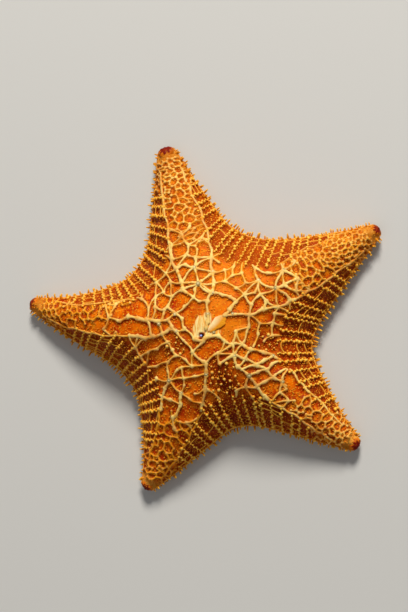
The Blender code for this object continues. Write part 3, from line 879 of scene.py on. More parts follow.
pale = patchShare(apexPlan["pale"], apexPlan["paleWidth"])
shift = np.where(fromPore < 3 * mm, 0, rise) - sunken * (1 - 0.7 * pale) + rim - pit
raisedPoints = skinPoints + skinNormals * shift[:, None]
skin.data.vertices.foreach_set("co", raisedPoints.astype(np.float32).ravel())
skin.data.update()
right, up = (skinPoints - hub)[:, :2].T
# painted light: how lit each bearing of the body is, highest where it faces the key lamp
paintedLightBearings = ((-180, 0.5), (-148, 0.55), (-75, 0.1), (-5, 0.3), (68, 1.0), (140, 0.45), (180, 0.5))
skinValues = {  # shares from 0 to 1 that the skin's material reads
    "net": np.maximum(netRise, ribRise * 0.8) * upperSide,
    "flank": np.maximum(onFlank, patchShare(apexPlan["dark"], apexPlan["darkWidth"])),
    # painted light, read from the bearing: the skin is painted lighter where it faces the lamp
    "paintedLight": readOff(paintedLightBearings, np.degrees(np.arctan2(up, right))),
    "armEnd": shareAlong(skinPoints, skinHalf),
    "sole": smooth(4.0, 4.6, skinRow),
    "furrow": smooth(7.95, 8.25, skinRow),
    "pale": pale,
    # how clear of the net each point is; the material paints shade where this is low, beside the struts
    "open": smooth(0.7 * mm, 3.2 * mm, fromNet),
    "golden": patchShare(apexPlan["golden"], apexPlan["goldenWidth"]),
    # where the pore's pit is painted near black, as painted shade
    "pore": nearSide * (1 - smooth(0.75, 1.15, fromPore / apexPlan["poreRadius"])),
}
for key, value in skinValues.items():
    skin.data.attributes.new(key, "FLOAT", "POINT").data.foreach_set("value", value.astype(np.float32))
skin.data.polygons.foreach_set("use_smooth", np.ones(len(skin.data.polygons), bool))
print("net raised on the skin")


def strutMesh(name, lines, plan):  # low rounded ridges along the lines, thick where they meet
    points, faces, uvs, rises, tones, swells, creams = [], [], [], [], [], [], []
    offset, detail = 0, plan["sides"]
    turns = np.linspace(0, 2 * np.pi, detail, endpoint=False)
    turns = turns + np.pi / 2 % (2 * np.pi / detail)  # a corner on top makes the crest
    for line in lines:
        place, normal = resampled(line, plan["step"])
        count = len(place)
        along = unit(np.gradient(place, axis=0))
        across = unit(np.cross(normal, along))
        t = np.linspace(0, 1, count)
        fromEnds = [np.abs(t - end) * count * plan["step"] / plan["flare"] for end in (0, 1)]
        ends = line.get("open", (1, 1))
        swell = np.maximum(*(np.exp(-away ** 1.1) * end for away, end in zip(fromEnds, ends)))
        swell *= mixed(1.0, 0.30, line.get("small", 0.0))
        knots = np.arange(0, count + 4, 4)
        wobble = 1 + (np.interp(np.arange(count), knots, random.random(len(knots))) - 0.5) * plan["uneven"]
        beaded = np.cos(np.arange(count) * plan["step"] * 2 * np.pi / plan["knobPitch"] + place[0, 0] / mm)
        wobble *= 1 + plan["knob"] * np.maximum(beaded, 0)
        weight = line.get("weight", 1.0)
        wide = mixed(plan["halfWidth"] * weight, plan["junctionWidth"] * mixed(weight, 1, 0.6), swell)
        tall = mixed(plan["halfHeight"] * mixed(weight, 1, 0.4), plan["junctionHeight"], swell)
        wide, tall = wide * wobble, tall * (0.45 + 0.55 * wobble)
        centre = place + normal * plan["lift"]
        reach = along[[0, -1]] * wide[[0, -1], None] * 0.8
        centre = np.concatenate([centre[:1] - reach[:1], centre, centre[-1:] + reach[1:]])
        wide, tall, t, swell = (  # one smaller ring more at each end rounds it off
            np.concatenate([v[:1] * k, v, v[-1:] * k])
            for v, k in ((wide, 0.42), (tall, 0.55), (t, 1.0), (swell, 1.0)))
        repeated = [0, *range(count), -1]
        normal, across, count = normal[repeated], across[repeated], count + 2
        ring = (centre[:, None] + across[:, None] * (np.cos(turns)[None, :, None] * wide[:, None, None])
                + normal[:, None] * (np.sin(turns)[None, :, None] * tall[:, None, None]))
        points.append(ring.reshape(-1, 3))
        corner = np.arange(detail)[None]
        rings = offset + np.arange(count - 1)[:, None] * detail
        base, beside = rings + corner, rings + (corner + 1) % detail
        quad = np.stack([base, beside, beside + detail, base + detail], -1).reshape(-1, 4)
        faces.append(np.concatenate([quad[:, [0, 1, 2]], quad[:, [0, 2, 3]]]))
        fan = np.array([[0, k + 1, k] for k in range(1, detail - 1)])
        faces.append(offset + fan)
        faces.append(offset + (count - 1) * detail + fan[:, ::-1])
        half, station, row = locate(place[[count // 2]])
        root = unwrapOf(half, station, row)[0]
        local = np.stack([np.repeat(t, detail), np.tile(np.sin(turns), count)], -1)
        uvs.append(root + (local - 0.5) * patchSize)
        rises.append(np.tile(np.sin(turns) * 0.5 + 0.5, count))
        tones.append(np.full(count * detail, random.random()))
        swells.append(np.repeat(swell, detail))
        creams.append(np.full(count * detail, line.get("cream", 0.6)))
        offset += count * detail
    values = {"rise": rises, "tone": tones, "joint": swells, "cream": creams}
    return meshFrom(name, np.concatenate(points), np.concatenate(faces), np.concatenate(uvs),
                    **{key: np.concatenate(parts) for key, parts in values.items()})


def elementFrom(piece):  # the shape that a scatter repeats: its points, faces and height share
    deselect()
    piece.select_set(True)
    bpy.context.view_layer.objects.active = piece
    bpy.ops.object.mode_set(mode="EDIT")
    bpy.ops.mesh.select_all(action="SELECT")
    bpy.ops.mesh.quads_convert_to_tris()
    bpy.ops.object.mode_set(mode="OBJECT")
    points = pointsOf(piece.data)
    faces = np.array([tuple(f.vertices) for f in piece.data.polygons])
    bpy.data.objects.remove(piece)
    height = (points[:, 2] - points[:, 2].min()) / np.ptp(points[:, 2])
    return points, faces, height


def scatter(name, element, places, directions, widths, heights, values=None):  # one mesh of turned copies
    points, faces, height = element
    places, directions = np.asarray(places), unit(np.asarray(directions))
    count = len(places)
    helper = np.where(np.abs(directions[:, 2:]) < 0.9, [[0, 0, 1.0]], [[1.0, 0, 0]])
    sideways = unit(np.cross(helper, directions))
    other = np.cross(directions, sideways)
    spin = random.random(count)[:, None] * 2 * np.pi
    x = sideways * np.cos(spin) + other * np.sin(spin)
    y = np.cross(directions, x)
    local = points[None] * np.stack([widths, widths, heights], -1)[:, None, :]
    world = (places[:, None] + local[..., 0:1] * x[:, None] + local[..., 1:2] * y[:, None]
             + local[..., 2:3] * directions[:, None])
    allFaces = faces[None] + (np.arange(count) * len(points))[:, None, None]
    root = unwrapOf(*locate(places))
    size = np.abs(points[:, :2]).max()
    uv = root[:, None] + points[None, :, :2] / size * (patchSize / 2)
    tones = np.repeat(random.random(count), len(points))
    extra = {key: np.repeat(value, len(points)) for key, value in (values or {}).items()}
    return meshFrom(name, world.reshape(-1, 3), allFaces.reshape(-1, 3), uv.reshape(-1, 2),
                    rise=np.tile(height, count), tone=tones, **extra)


def bead():  # a rounded button, flatter below
    deselect()
    bpy.ops.mesh.primitive_ico_sphere_add(subdivisions=2, radius=1)
    piece = bpy.context.object
    for vert in piece.data.vertices:
        if vert.co.z < 0:
            vert.co.z *= 0.6
    return elementFrom(piece)


def fingerSpine():  # a blunt finger one unit long, waisted at its root
    deselect()
    bpy.ops.mesh.primitive_cylinder_add(vertices=7, radius=1, depth=1, location=(0, 0, 0.5))
    piece = bpy.context.object
    bpy.ops.object.transform_apply(location=True)
    bpy.ops.object.mode_set(mode="EDIT")
    bpy.ops.mesh.select_all(action="DESELECT")
    bpy.ops.object.mode_set(mode="OBJECT")
    for face in piece.data.polygons:
        face.select = face.normal.z > 0.9
    bpy.ops.object.mode_set(mode="EDIT")
    bpy.context.tool_settings.mesh_select_mode = (False, False, True)
    bpy.ops.transform.resize(value=(0.92, 0.92, 1))
    bpy.ops.transform.translate(value=(0, 0, -0.55))
    for rise, grow in ((0.27, 1.0), (0.18, 0.80), (0.10, 0.42)):
        bpy.ops.mesh.extrude_region_move(TRANSFORM_OT_translate={"value": (0, 0, rise)})
        bpy.ops.transform.resize(value=(grow, grow, 1))
    bpy.ops.object.mode_set(mode="OBJECT")
    return elementFrom(piece)


def drawnOut(vertices, radius, steps):  # a disc extruded upwards step by step: rise, and growth at its end
    deselect()
    bpy.ops.mesh.primitive_circle_add(vertices=vertices, radius=radius, fill_type="NGON")
    piece = bpy.context.object
    bpy.ops.object.mode_set(mode="EDIT")
    bpy.context.tool_settings.mesh_select_mode = (False, False, True)
    bpy.ops.mesh.select_all(action="SELECT")
    for rise, grow in steps:
        bpy.ops.mesh.extrude_region_move(TRANSFORM_OT_translate={"value": (0, 0, rise)})
        bpy.ops.transform.resize(value=(grow, grow, 1))
    bpy.ops.object.mode_set(mode="OBJECT")
    return elementFrom(piece)


strutPlan = {
    "sides": 8, "step": 0.8 * mm, "halfWidth": 0.52 * mm, "halfHeight": 0.48 * mm, "lift": 0.42 * mm,
    "junctionWidth": 1.15 * mm, "junctionHeight": 0.62 * mm, "flare": 2.6 * mm,  # swelling towards a junction
    "uneven": 0.6, "knob": 0.34, "knobPitch": 3.3 * mm,  # low knobs in a row along each bar
}
ribPlan = {
    "sides": 6, "step": 1.0 * mm, "halfWidth": 0.36 * mm, "halfHeight": 0.36 * mm, "lift": 0.34 * mm,
    "junctionWidth": 0.50 * mm, "junctionHeight": 0.48 * mm, "flare": 1.0 * mm,
    "uneven": 0.4, "knob": 0.0, "knobPitch": 3.3 * mm,
}
beadPlan = {"least": 0.66, "more": 0.66, "lift": 0.60, "height": 0.95}  # radii and lift in millimetres
upperStruts = strutMesh("netStruts", upperNet, strutPlan)
ribStruts = strutMesh("ribStruts", ribs + links, ribPlan)
beadShape = bead()
spineShape = fingerSpine()
beadPlaces, beadNormals = (np.concatenate([line[key] for line in ribs]) for key in ("points", "normals"))
beadSizes = (beadPlan["least"] + random.random(len(beadPlaces)) ** 2 * beadPlan["more"]) * mm
beads = scatter("flankBeads", beadShape, beadPlaces + beadNormals * beadPlan["lift"] * mm, beadNormals,
                beadSizes, beadSizes * beadPlan["height"])
print("beads:", len(beadPlaces))


platePlan = {"least": 0.62, "byWeight": 0.15, "more": 0.35, "lift": 0.45}  # millimetres


def junctionPlates():  # the plate where struts meet: a low rounded star with a pale top
    plan = platePlan
    points, normals, good = lifted(junctions[usedJunctions])
    weight, cream = (np.array([of[n] for n in usedJunctions])[good] for of in (degree, creamOf))
    points, normals = points[good], normals[good]
    more = random.random(len(points)) ** 2 * plan["more"]
    size = (plan["least"] + plan["byWeight"] * np.clip(weight, 1, 7) + more) * mm
    return scatter("junctionPlates", beadShape, points + normals * plan["lift"] * mm, normals,
                   size, 0.40 * mm + size * 0.08, {"cream": cream, "joint": 0.45 + cream * 0.45})


junctionCaps = junctionPlates()


def grain():  # a small round grain
    deselect()
    bpy.ops.mesh.primitive_ico_sphere_add(subdivisions=1, radius=1)
    return elementFrom(bpy.context.object)


gillPlan = {
    "share": 0.20, "least": 0.24, "more": 0.36,  # of the skin's points, and radii in millimetres
    "fromNet": 0.95 * mm, "fromPore": 4 * mm, "lastRow": 3.9, "lastStation": 5.5,
}


def papulae():  # the small soft gills that stand in the cells
    plan = gillPlan
    able = np.nonzero((fromNet > plan["fromNet"]) & (skinRow < plan["lastRow"]) & (pale < 0.15)
                      & (skinStation < plan["lastStation"]) & (fromPore > plan["fromPore"]))[0]
    chosen = random.permutation(able)[:int(len(able) * plan["share"])]
    normals = normalsOf(skin.data)[chosen]
    size = (plan["least"] + random.random(len(chosen)) ** 2 * plan["more"]) * mm
    lean = (random.random((len(chosen), 3)) - 0.5) * 0.5
    return scatter("papulae", grain(), raisedPoints[chosen] + normals * 0.10 * mm, normals + lean,
                   size, size * 1.5)


gills = papulae()
print("junction plates:", len(usedJunctions), "gills:", len(gills.data.polygons) // 20)


loosePlan = {
    "corners": ((12, -33, 11), (-20, -12, 7), (41, -10, 6)),  # right of the hub, up from it, and radius
    "apart": 3.3, "trials": 400, "least": 0.62, "more": 0.65,
}


def looseTubercles():  # round tubercles that stand alone in the open corners
    plan, spots = loosePlan, []
    for right, up, radius in plan["corners"]:
        for trial in range(plan["trials"]):
            spot = np.array((right, up)) + (random.random(2) - 0.5) * 2 * radius
            apart = min((math.dist(spot, other) for other in spots), default=99)
            if math.dist(spot, (right, up)) < radius and apart > plan["apart"]:
                spots.append(spot)
    points, normals, good = lifted(hub[:2] + np.array(spots) * mm)
    size = (plan["least"] + random.random(len(points)) ** 2 * plan["more"]) * mm
    return scatter("looseTubercles", beadShape, points + normals * 0.2 * mm, normals, size, size * 1.05)


looseBeads = looseTubercles()


def shaped(name, shape, paleness, segments, rings):  # a ball with its points moved by the shape function
    deselect()
    bpy.ops.mesh.primitive_uv_sphere_add(segments=segments, ring_count=rings, radius=1)
    piece = bpy.context.object
    piece.name = name
    local = pointsOf(piece.data)
    points = shape(local)
    piece.data.vertices.foreach_set("co", points.astype(np.float32).ravel())
    rise = paleness(unit(local))
    piece.data.attributes.new("rise", "FLOAT", "POINT").data.foreach_set("value", rise.astype(np.float32))
    for layer in list(piece.data.uv_layers):
        piece.data.uv_layers.remove(layer)
    piece.data.update()
    piece.data.shade_smooth()
    return piece


def standing(points, foot, up, forward):  # local points (forward, left, up) set on a place of the body
    up = up / np.linalg.norm(up)
    forward = forward - up * (forward @ up)
    forward = forward / np.linalg.norm(forward)
    return foot + points[:, :1] * forward + points[:, 1:2] * np.cross(up, forward) + points[:, 2:] * up


sievePlan = {
    "size": (7.4, 3.4, 0.62), "widens": 1.3,  # half length, half width and height in millimetres
    "grooves": 19, "grooveDepth": 0.09,
}


def sievePlate():  # a smooth golden wedge, wider towards the arm, with fine winding grooves
    foot, up = [f[0] for f in lifted([apexPlan["sievePlate"][:2]])[:2]]
    long, wide, tall = sievePlan["size"]

    def shape(p):
        turn, out = np.arctan2(p[:, 1], p[:, 0]), np.hypot(p[:, 0], p[:, 1])
        winding = np.sin(turn * sievePlan["grooves"] + 5 * np.sin(out * 7) + 2.2 * np.sin(turn * 5))
        groove = winding * smooth(0.12, 0.5, out) * smooth(0.2, 0.5, p[:, 2])
        height = tall * np.sign(p[:, 2]) * np.abs(p[:, 2]) ** 0.8 + sievePlan["grooveDepth"] * groove
        edge = 1 + 0.06 * np.sin(turn * 5 + 1) + 0.03 * np.sin(turn * 11)
        across = p[:, 1] * (wide + sievePlan["widens"] * p[:, 0]) * edge
        local = np.stack([long * p[:, 0] * edge, across, np.maximum(height, -0.8) + 0.1], -1) * mm
        return standing(local, foot, up, bearing(apexPlan["sieveBearing"]))
    return shaped("sievePlate", shape, lambda p: 0.5 + 0.5 * p @ (-0.25, 0.9, 0.35), 128, 40)


tuberclePlaces = (  # millimetres right of the hub, up from it, and the radius in tenths
    (-7, 40, 13), (5, 37, 12), (-4, 29, 17), (3, 9, 13), (-19, 9, 13), (-30, 3, 14), (-27, 12, 10),
    (19, 9, 11), (29, -31, 17), (6, 23, 11), (46, 26, 15), (1, -30, 13), (-24, -34, 15), (20, -18, 12),
    (35, 31, 12), (3, 46, 11), (-18, -2, 12), (-14, 25, 10), (44, -18, 11), (50, -35, 12),
    (-16, -42, 11), (51, 38, 11), (7, -3, 11))


def primaryTubercles():  # ringed buttons on the strongest plates of the net
    laid = np.array(tuberclePlaces, float)
    points, normals, good = lifted(hub[:2] + laid[:, :2] * mm)
    size = laid[:, 2] * 0.1 * mm
    button = drawnOut(12, 1.0, (
        (0.45, 0.92), (0.16, 0.80), (-0.16, 0.80), (-0.02, 0.86), (0.26, 0.80), (0.10, 0.60)))
    return scatter("primaryTubercles", button, points + normals * 0.62 * mm, normals, size, size * 0.62)


sieve = sievePlate()
buttons = primaryTubercles()


def porePapilla():  # the wet knob that shows in the pore
    foot, up = [f[0] for f in lifted([apexPlan["pore"][:2]])[:2]]

    def shape(p):
        return standing(p * (0.85, 0.8, 0.8) * mm + (0, 0, 0.5 * mm), foot, up, bearing(0))
    return shaped("porePapilla", shape, lambda p: p[:, 2], 20, 12)


papilla = porePapilla()


endPlan = {
    "size": {"a": 1.0, "b": 1.0, "c": 1.45, "d": 1.0, "e": 1.15},
    "radii": (3.1, 3.7, 2.6), "share": 0.968, "height": 8.8,  # millimetres, and the share of the reach
    "hollow": (0.66, 0.0, 0.75),  # which way the furrow's end shows as a hollow
    "folds": 9, "foldDepth": 0.05,
    "eyeRadii": (1.1, 1.0, 0.8), "eyeOut": 2.4, "eyeDown": 0.4,
}


def armEnd(arm):  # the end plate of an arm, hollow where the furrow runs out, and the eyespot under it
    plan = endPlan
    side = axisSide(arm, 0.98)
    forward = np.array((side[1], -side[0], 0.0))
    foot = hub + axisPoint(arm, plan["share"]) + np.array((0, 0, plan["height"] * mm))
    up = unit(np.array((0, 0, 1.0)) + forward * 0.35)
    hollow = unit(np.array(plan["hollow"]))
    long, wide, tall = plan["radii"]
    radii = np.array((long * plan["size"][arm], wide * plan["size"][arm], tall)) * mm

    def folds(p):  # they run out from the hollow on all sides
        return np.sin(plan["folds"] * np.arctan2(p[:, 1], p @ np.cross((0.0, 1.0, 0.0), hollow)))

    def knob(p):
        facing = p @ hollow
        grow = 1 - 0.20 * smooth(0.40, 0.98, facing)
        grow += plan["foldDepth"] * folds(p) * smooth(0.98, 0.75, facing)
        grow *= 1 + 0.035 * np.sin(p[:, 0] * 17) * np.sin(p[:, 1] * 15) * np.sin(p[:, 2] * 16)
        return standing(p * grow[:, None] * radii, foot, up, forward)

    def eye(p):
        place = foot + forward * plan["eyeOut"] * mm - up * plan["eyeDown"] * mm
        return standing(p * plan["eyeRadii"] * mm, place, forward, up)

    def paleness(p):
        return 1 - smooth(0.05, 0.60, p @ hollow - 0.42 * np.abs(p[:, 1]) + 0.20 * folds(p))
    return (shaped("armEnd_" + arm, knob, paleness, 40, 24),
            shaped("eyespotPad_" + arm, eye, lambda p: p[:, 2], 20, 12))


def joined(name, pieces):
    deselect()
    for piece in pieces:
        piece.select_set(True)
    bpy.context.view_layer.objects.active = pieces[0]
    bpy.ops.object.join()
    made = bpy.context.object
    made.name = name
    return made


ends = [armEnd(arm) for arm in armNames]
armEnds = joined("armEnds", [end[0] for end in ends])
eyespots = joined("eyespots", [end[1] for end in ends])


def alongRow(half, row, pitch, start=0.5, last=5.45, stray=0.3):  # stations an even pitch apart on one row
    distance = alongLength(half, row)
    end = np.interp(last * fine, np.arange(tableSize[1]), distance)
    count = max(int(end / (pitch * mm)), 1)
    at = (np.arange(count) + start + (random.random(count) - 0.5) * stray) * end / count
    return np.interp(at, distance, np.arange(tableSize[1])) / fine


spinePlan = {  # rows of the body's plan, lengths in millimetres
    "fingers": (  # row, pitch, lean upwards, length, and where the first stands
        (4.05, 4.6, 0.25, 4.0, 0.25), (4.55, 5.0, -0.05, 3.3, 0.75)),
    "fingerRadius": 0.62, "fingerMore": 0.16, "sunk": 0.3,
    "coneRow": 3.72, "conePitch": 5.0, "coneLean": 0.75, "coneRadius": 1.05, "coneLength": 3.0,
}


def fingers():  # blunt fingers in two rows along the margin
    plan = spinePlan
    found = []
    for row, pitch, lean, long, start in plan["fingers"]:
        for half in range(10):
            station = alongRow(half, row, pitch, start)
            count = len(station)
            points, normals = insetLine(half, station, row + (random.random(count) - 0.5) * 0.12)
            aim = unit(normals * (1, 1, 0)) + (0, 0, lean) + (random.random((count, 3)) - 0.5) * 0.3
            length = long * mm * (0.55 + random.random(count) * 0.75) * (1 - 0.25 * station / 6)
            radius = (plan["fingerRadius"] + random.random(count) * plan["fingerMore"]) * mm
            found.append((points, unit(aim), radius * (1 - 0.2 * station / 6), length))
    places, aims, radii, lengths = (np.concatenate(parts) for parts in zip(*found))
    sunk = plan["sunk"] * mm
    return scatter("fingerSpines", spineShape, places - aims * sunk, aims, radii, lengths + sunk)


def marginCones():  # stout cones along the upper margin
    plan = spinePlan
    found = []
    for half in range(10):
        station = alongRow(half, plan["coneRow"], plan["conePitch"], 0.45, 5.35)
        rowsAt = plan["coneRow"] + (random.random(len(station)) - 0.5) * 0.1
        points, normals = insetLine(half, station, rowsAt)
        stray = (random.random(points.shape) - 0.5) * 0.3
        found.append((points, unit(unit(normals * (1, 1, 0)) + (0, 0, plan["coneLean"]) + stray)))
    places, aims = (np.concatenate(parts) for parts in zip(*found))
    size = 0.75 + random.random(len(places)) * 0.5
    cone = drawnOut(9, 1.0, ((0.18, 0.82), (0.35, 0.72), (0.30, 0.66), (0.14, 0.50)))
    return scatter("marginCones", cone, places - aims * plan["sunk"] * mm, aims,
                   plan["coneRadius"] * mm * size, plan["coneLength"] * mm * size)


spines = joined("marginSpines", [fingers(), marginCones()])
print("spines:", len(spines.data.polygons), "faces")


undersidePlan = {  # rows of the body's plan, the rest in millimetres
    "platePitch": 3.3, "plateRadius": 1.5, "plateHeight": 0.42,
    "plateRows": (7.85, 5.2), "plateEnd": 5.6, "plateStray": 0.5,
    "granules": 7600, "granuleRadius": 0.30, "granuleLift": 0.22,
    "granuleRows": (4.3, 7.9), "granuleEnd": 5.8,
    "furrowSpine": (8.06, 1.4, 2.3, 0.30),  # row, pitch along the furrow, length, radius
    "outerSpine": (7.86, 2.2, 3.0, 0.52),
    "tubeFoot": (8.55, 2.3, 5.0, 0.72),
    "clearance": 0.12, "settled": 0.40,  # heights over which parts flatten against the ground
}


def onTheGround(piece):  # parts that would dip below the sole lie flat instead
    points = pointsOf(piece.data)
    lowest, settled = undersidePlan["clearance"] * mm, undersidePlan["settled"] * mm
    room = settled - lowest
    flattened = lowest + room * np.exp(np.minimum(points[:, 2] - settled, 0) / room)
    points[:, 2] = np.where(points[:, 2] < settled, flattened, points[:, 2])
    piece.data.vertices.foreach_set("co", points.astype(np.float32).ravel())
    piece.data.update()
    return piece


def solePlates():  # low rounded plates in rows beside the furrows, fewer rows towards the arm's end
    plan = undersidePlan
    pitch = plan["platePitch"] * mm
    stations, rowsAt = np.linspace(0, plan["plateEnd"], 90), np.linspace(*plan["plateRows"], 60)
    found = []
    for half in range(10):
        grid = onTable(insetPoints, half, stations[:, None] + 0 * rowsAt, 0 * stations[:, None] + rowsAt)
        fromLip = np.cumsum(np.linalg.norm(np.diff(grid, axis=1, prepend=grid[:, :1]), axis=-1), axis=1)
        for number in range(20):
            reach = (number + 0.7) * pitch
            wide = fromLip[:, -1] > reach
            if wide.sum() < 3:
                break
            rowAt = np.array([np.interp(reach, away, rowsAt) for away in fromLip[wide]])
            points, normals = insetLine(half, stations[wide], rowAt)
            found.append(resampled({"points": points, "normals": normals}, pitch))
    points, normals = (np.concatenate(parts) for parts in zip(*found))
    points = points + (random.random(points.shape) - 0.5) * plan["plateStray"] * mm
    size = plan["plateRadius"] * (0.85 + random.random(len(points)) * 0.3) * mm
    tall = np.full(len(size), plan["plateHeight"] * mm)
    return onTheGround(scatter("solePlates", beadShape, points, normals, size, tall))


def soleGranules():  # the coat of fine granules on the sole
    plan = undersidePlan
    first, last = plan["granuleRows"]
    inRows = (skinRow > first) & (skinRow < last)
    able = np.nonzero(inRows & (skinStation < plan["granuleEnd"]))[0]
    chosen = random.permutation(able)[:plan["granules"]]
    size = plan["granuleRadius"] * (0.7 + random.random(len(chosen)) * 0.7) * mm
    places = raisedPoints[chosen] + skinNormals[chosen] * plan["granuleLift"] * mm
    return onTheGround(scatter("soleGranules", grain(), places, skinNormals[chosen], size, size))


def alongFurrow(name, element, key, last, drop):  # spines or feet set along both sides of every furrow
    row, pitch, long, wide = undersidePlan[key]
    found = []
    for half in range(10):
        station = alongRow(half, row, pitch, 0.5, last, 0.35)
        points, normals = insetLine(half, station, np.full(len(station), row))
        middle = onTable(insetPoints, np.full(len(station), half), station, np.full(len(station), 9.0))
        aim = unit((middle - points) * (1, 1, 0))
        aim = aim + (random.random(aim.shape) - 0.5) * (0.55, 0.55, 0.1) + (0, 0, -drop)
        size = (1 - 0.09 * station) * (0.85 + random.random(len(station)) * 0.3)
        found.append((points - normals * 0.15 * mm, aim, size, np.maximum(points[:, 2] - 0.6 * mm, 0.8 * mm)))
    points, aims, size, room = (np.concatenate(parts) for parts in zip(*found))
    length = long * mm * size
    if drop > 1:  # what points down stops above the ground
        length = np.minimum(length, room)
    return onTheGround(scatter(name, element, points, aims, wide * mm * size, length))


def mouthMembrane():  # soft folds drawn together round the mouth
    radius, height = (mouthHigh.x - mouthLow.x) / 2, mouthHigh.z - mouthLow.z
    foot = np.array((hub[0], hub[1], mouthHigh.z))

    def shape(p):
        out, turn = np.hypot(p[:, 0], p[:, 1]), np.arctan2(p[:, 1], p[:, 0])
        folds = 1 + 0.10 * np.cos(turn * 20 + 1.5 * np.sin(turn * 3)) * smooth(0.15, 0.6, out)
        deep = np.where(p[:, 2] < 0, -height * (1 - (2 * out - 1) ** 2) * folds, p[:, 2] * 0.4 * mm)
        return foot + np.stack([p[:, 0] * radius, p[:, 1] * radius, deep], -1)
    return shaped("mouthMembrane", shape, lambda p: smooth(0.15, 0.8, np.hypot(p[:, 0], p[:, 1])), 120, 40)


mouth = mouthMembrane()
solePieces = solePlates()
granules = soleGranules()
furrowSpines = joined("furrowSpines", [
    alongFurrow("innerSpines", spineShape, "furrowSpine", 5.5, 0.0),
    alongFurrow("outerSpines", spineShape, "outerSpine", 5.5, 0.05)])
footShape = drawnOut(8, 0.9, (  # a tapering stalk one unit long, with a sucker at its end
    (0.45, 0.75), (0.38, 0.95), (0.05, 1.75), (0.07, 1.05), (0.05, 0.85), (-0.04, 0.55)))
tubeFeet = alongFurrow("tubeFeet", footShape, "tubeFoot", 5.3, 3.0)
print("underside:", [len(piece.data.polygons) for piece in (solePieces, granules, furrowSpines, tubeFeet)])


def node(tree, kind, inputs=None, **settings):  # adds one node with its settings, values and links
    made = tree.nodes.new(kind)
    for key, setting in settings.items():
        setattr(made, key, setting)
    for key, value in (inputs or {}).items():
        if isinstance(value, bpy.types.NodeSocket):
            tree.links.new(value, made.inputs[key])
        else:
            made.inputs[key].default_value = linear(value) if isinstance(value, str) else value
    return made


def layered(tree, colour, layers):  # colours laid over one another, each where its pattern passes two levels
    for pattern, start, end, most, paint in layers:
        share = node(tree, "ShaderNodeMapRange", {0: pattern, 1: start, 2: end, 4: most}).outputs["Result"]
        colour = node(tree, "ShaderNodeMix", {0: share, 6: colour, 7: paint}, data_type="RGBA").outputs[2]
    return colour


def material(name, roughness, specular):
    made = bpy.data.materials.new(name)
    made.use_nodes = True
    shader = made.node_tree.nodes["Principled BSDF"]
    shader.inputs["Roughness"].default_value = roughness
    shader.inputs["Specular IOR Level"].default_value = specular
    return made, made.node_tree, shader


skinFinish = {
    "roughness": 0.5, "specular": 0.05,  # damp, not wet
    "grainSize": 0.77,  # millimetres; the real grain is nearer 0.4, too fine to show
    "speckleSize": 1.1,  # the pores of the gills, about as large as they are
    "mottleSize": 2.4, "patchSize": 8.3,  # clusters of pores, and the drift of colour from cell to cell
    "streaks": (900.0, 130.0, 300.0),  # repeats a metre along x, y and z: 1.1 by 7.7 by 3.3 mm
    "grainDepth": 0.3,
}


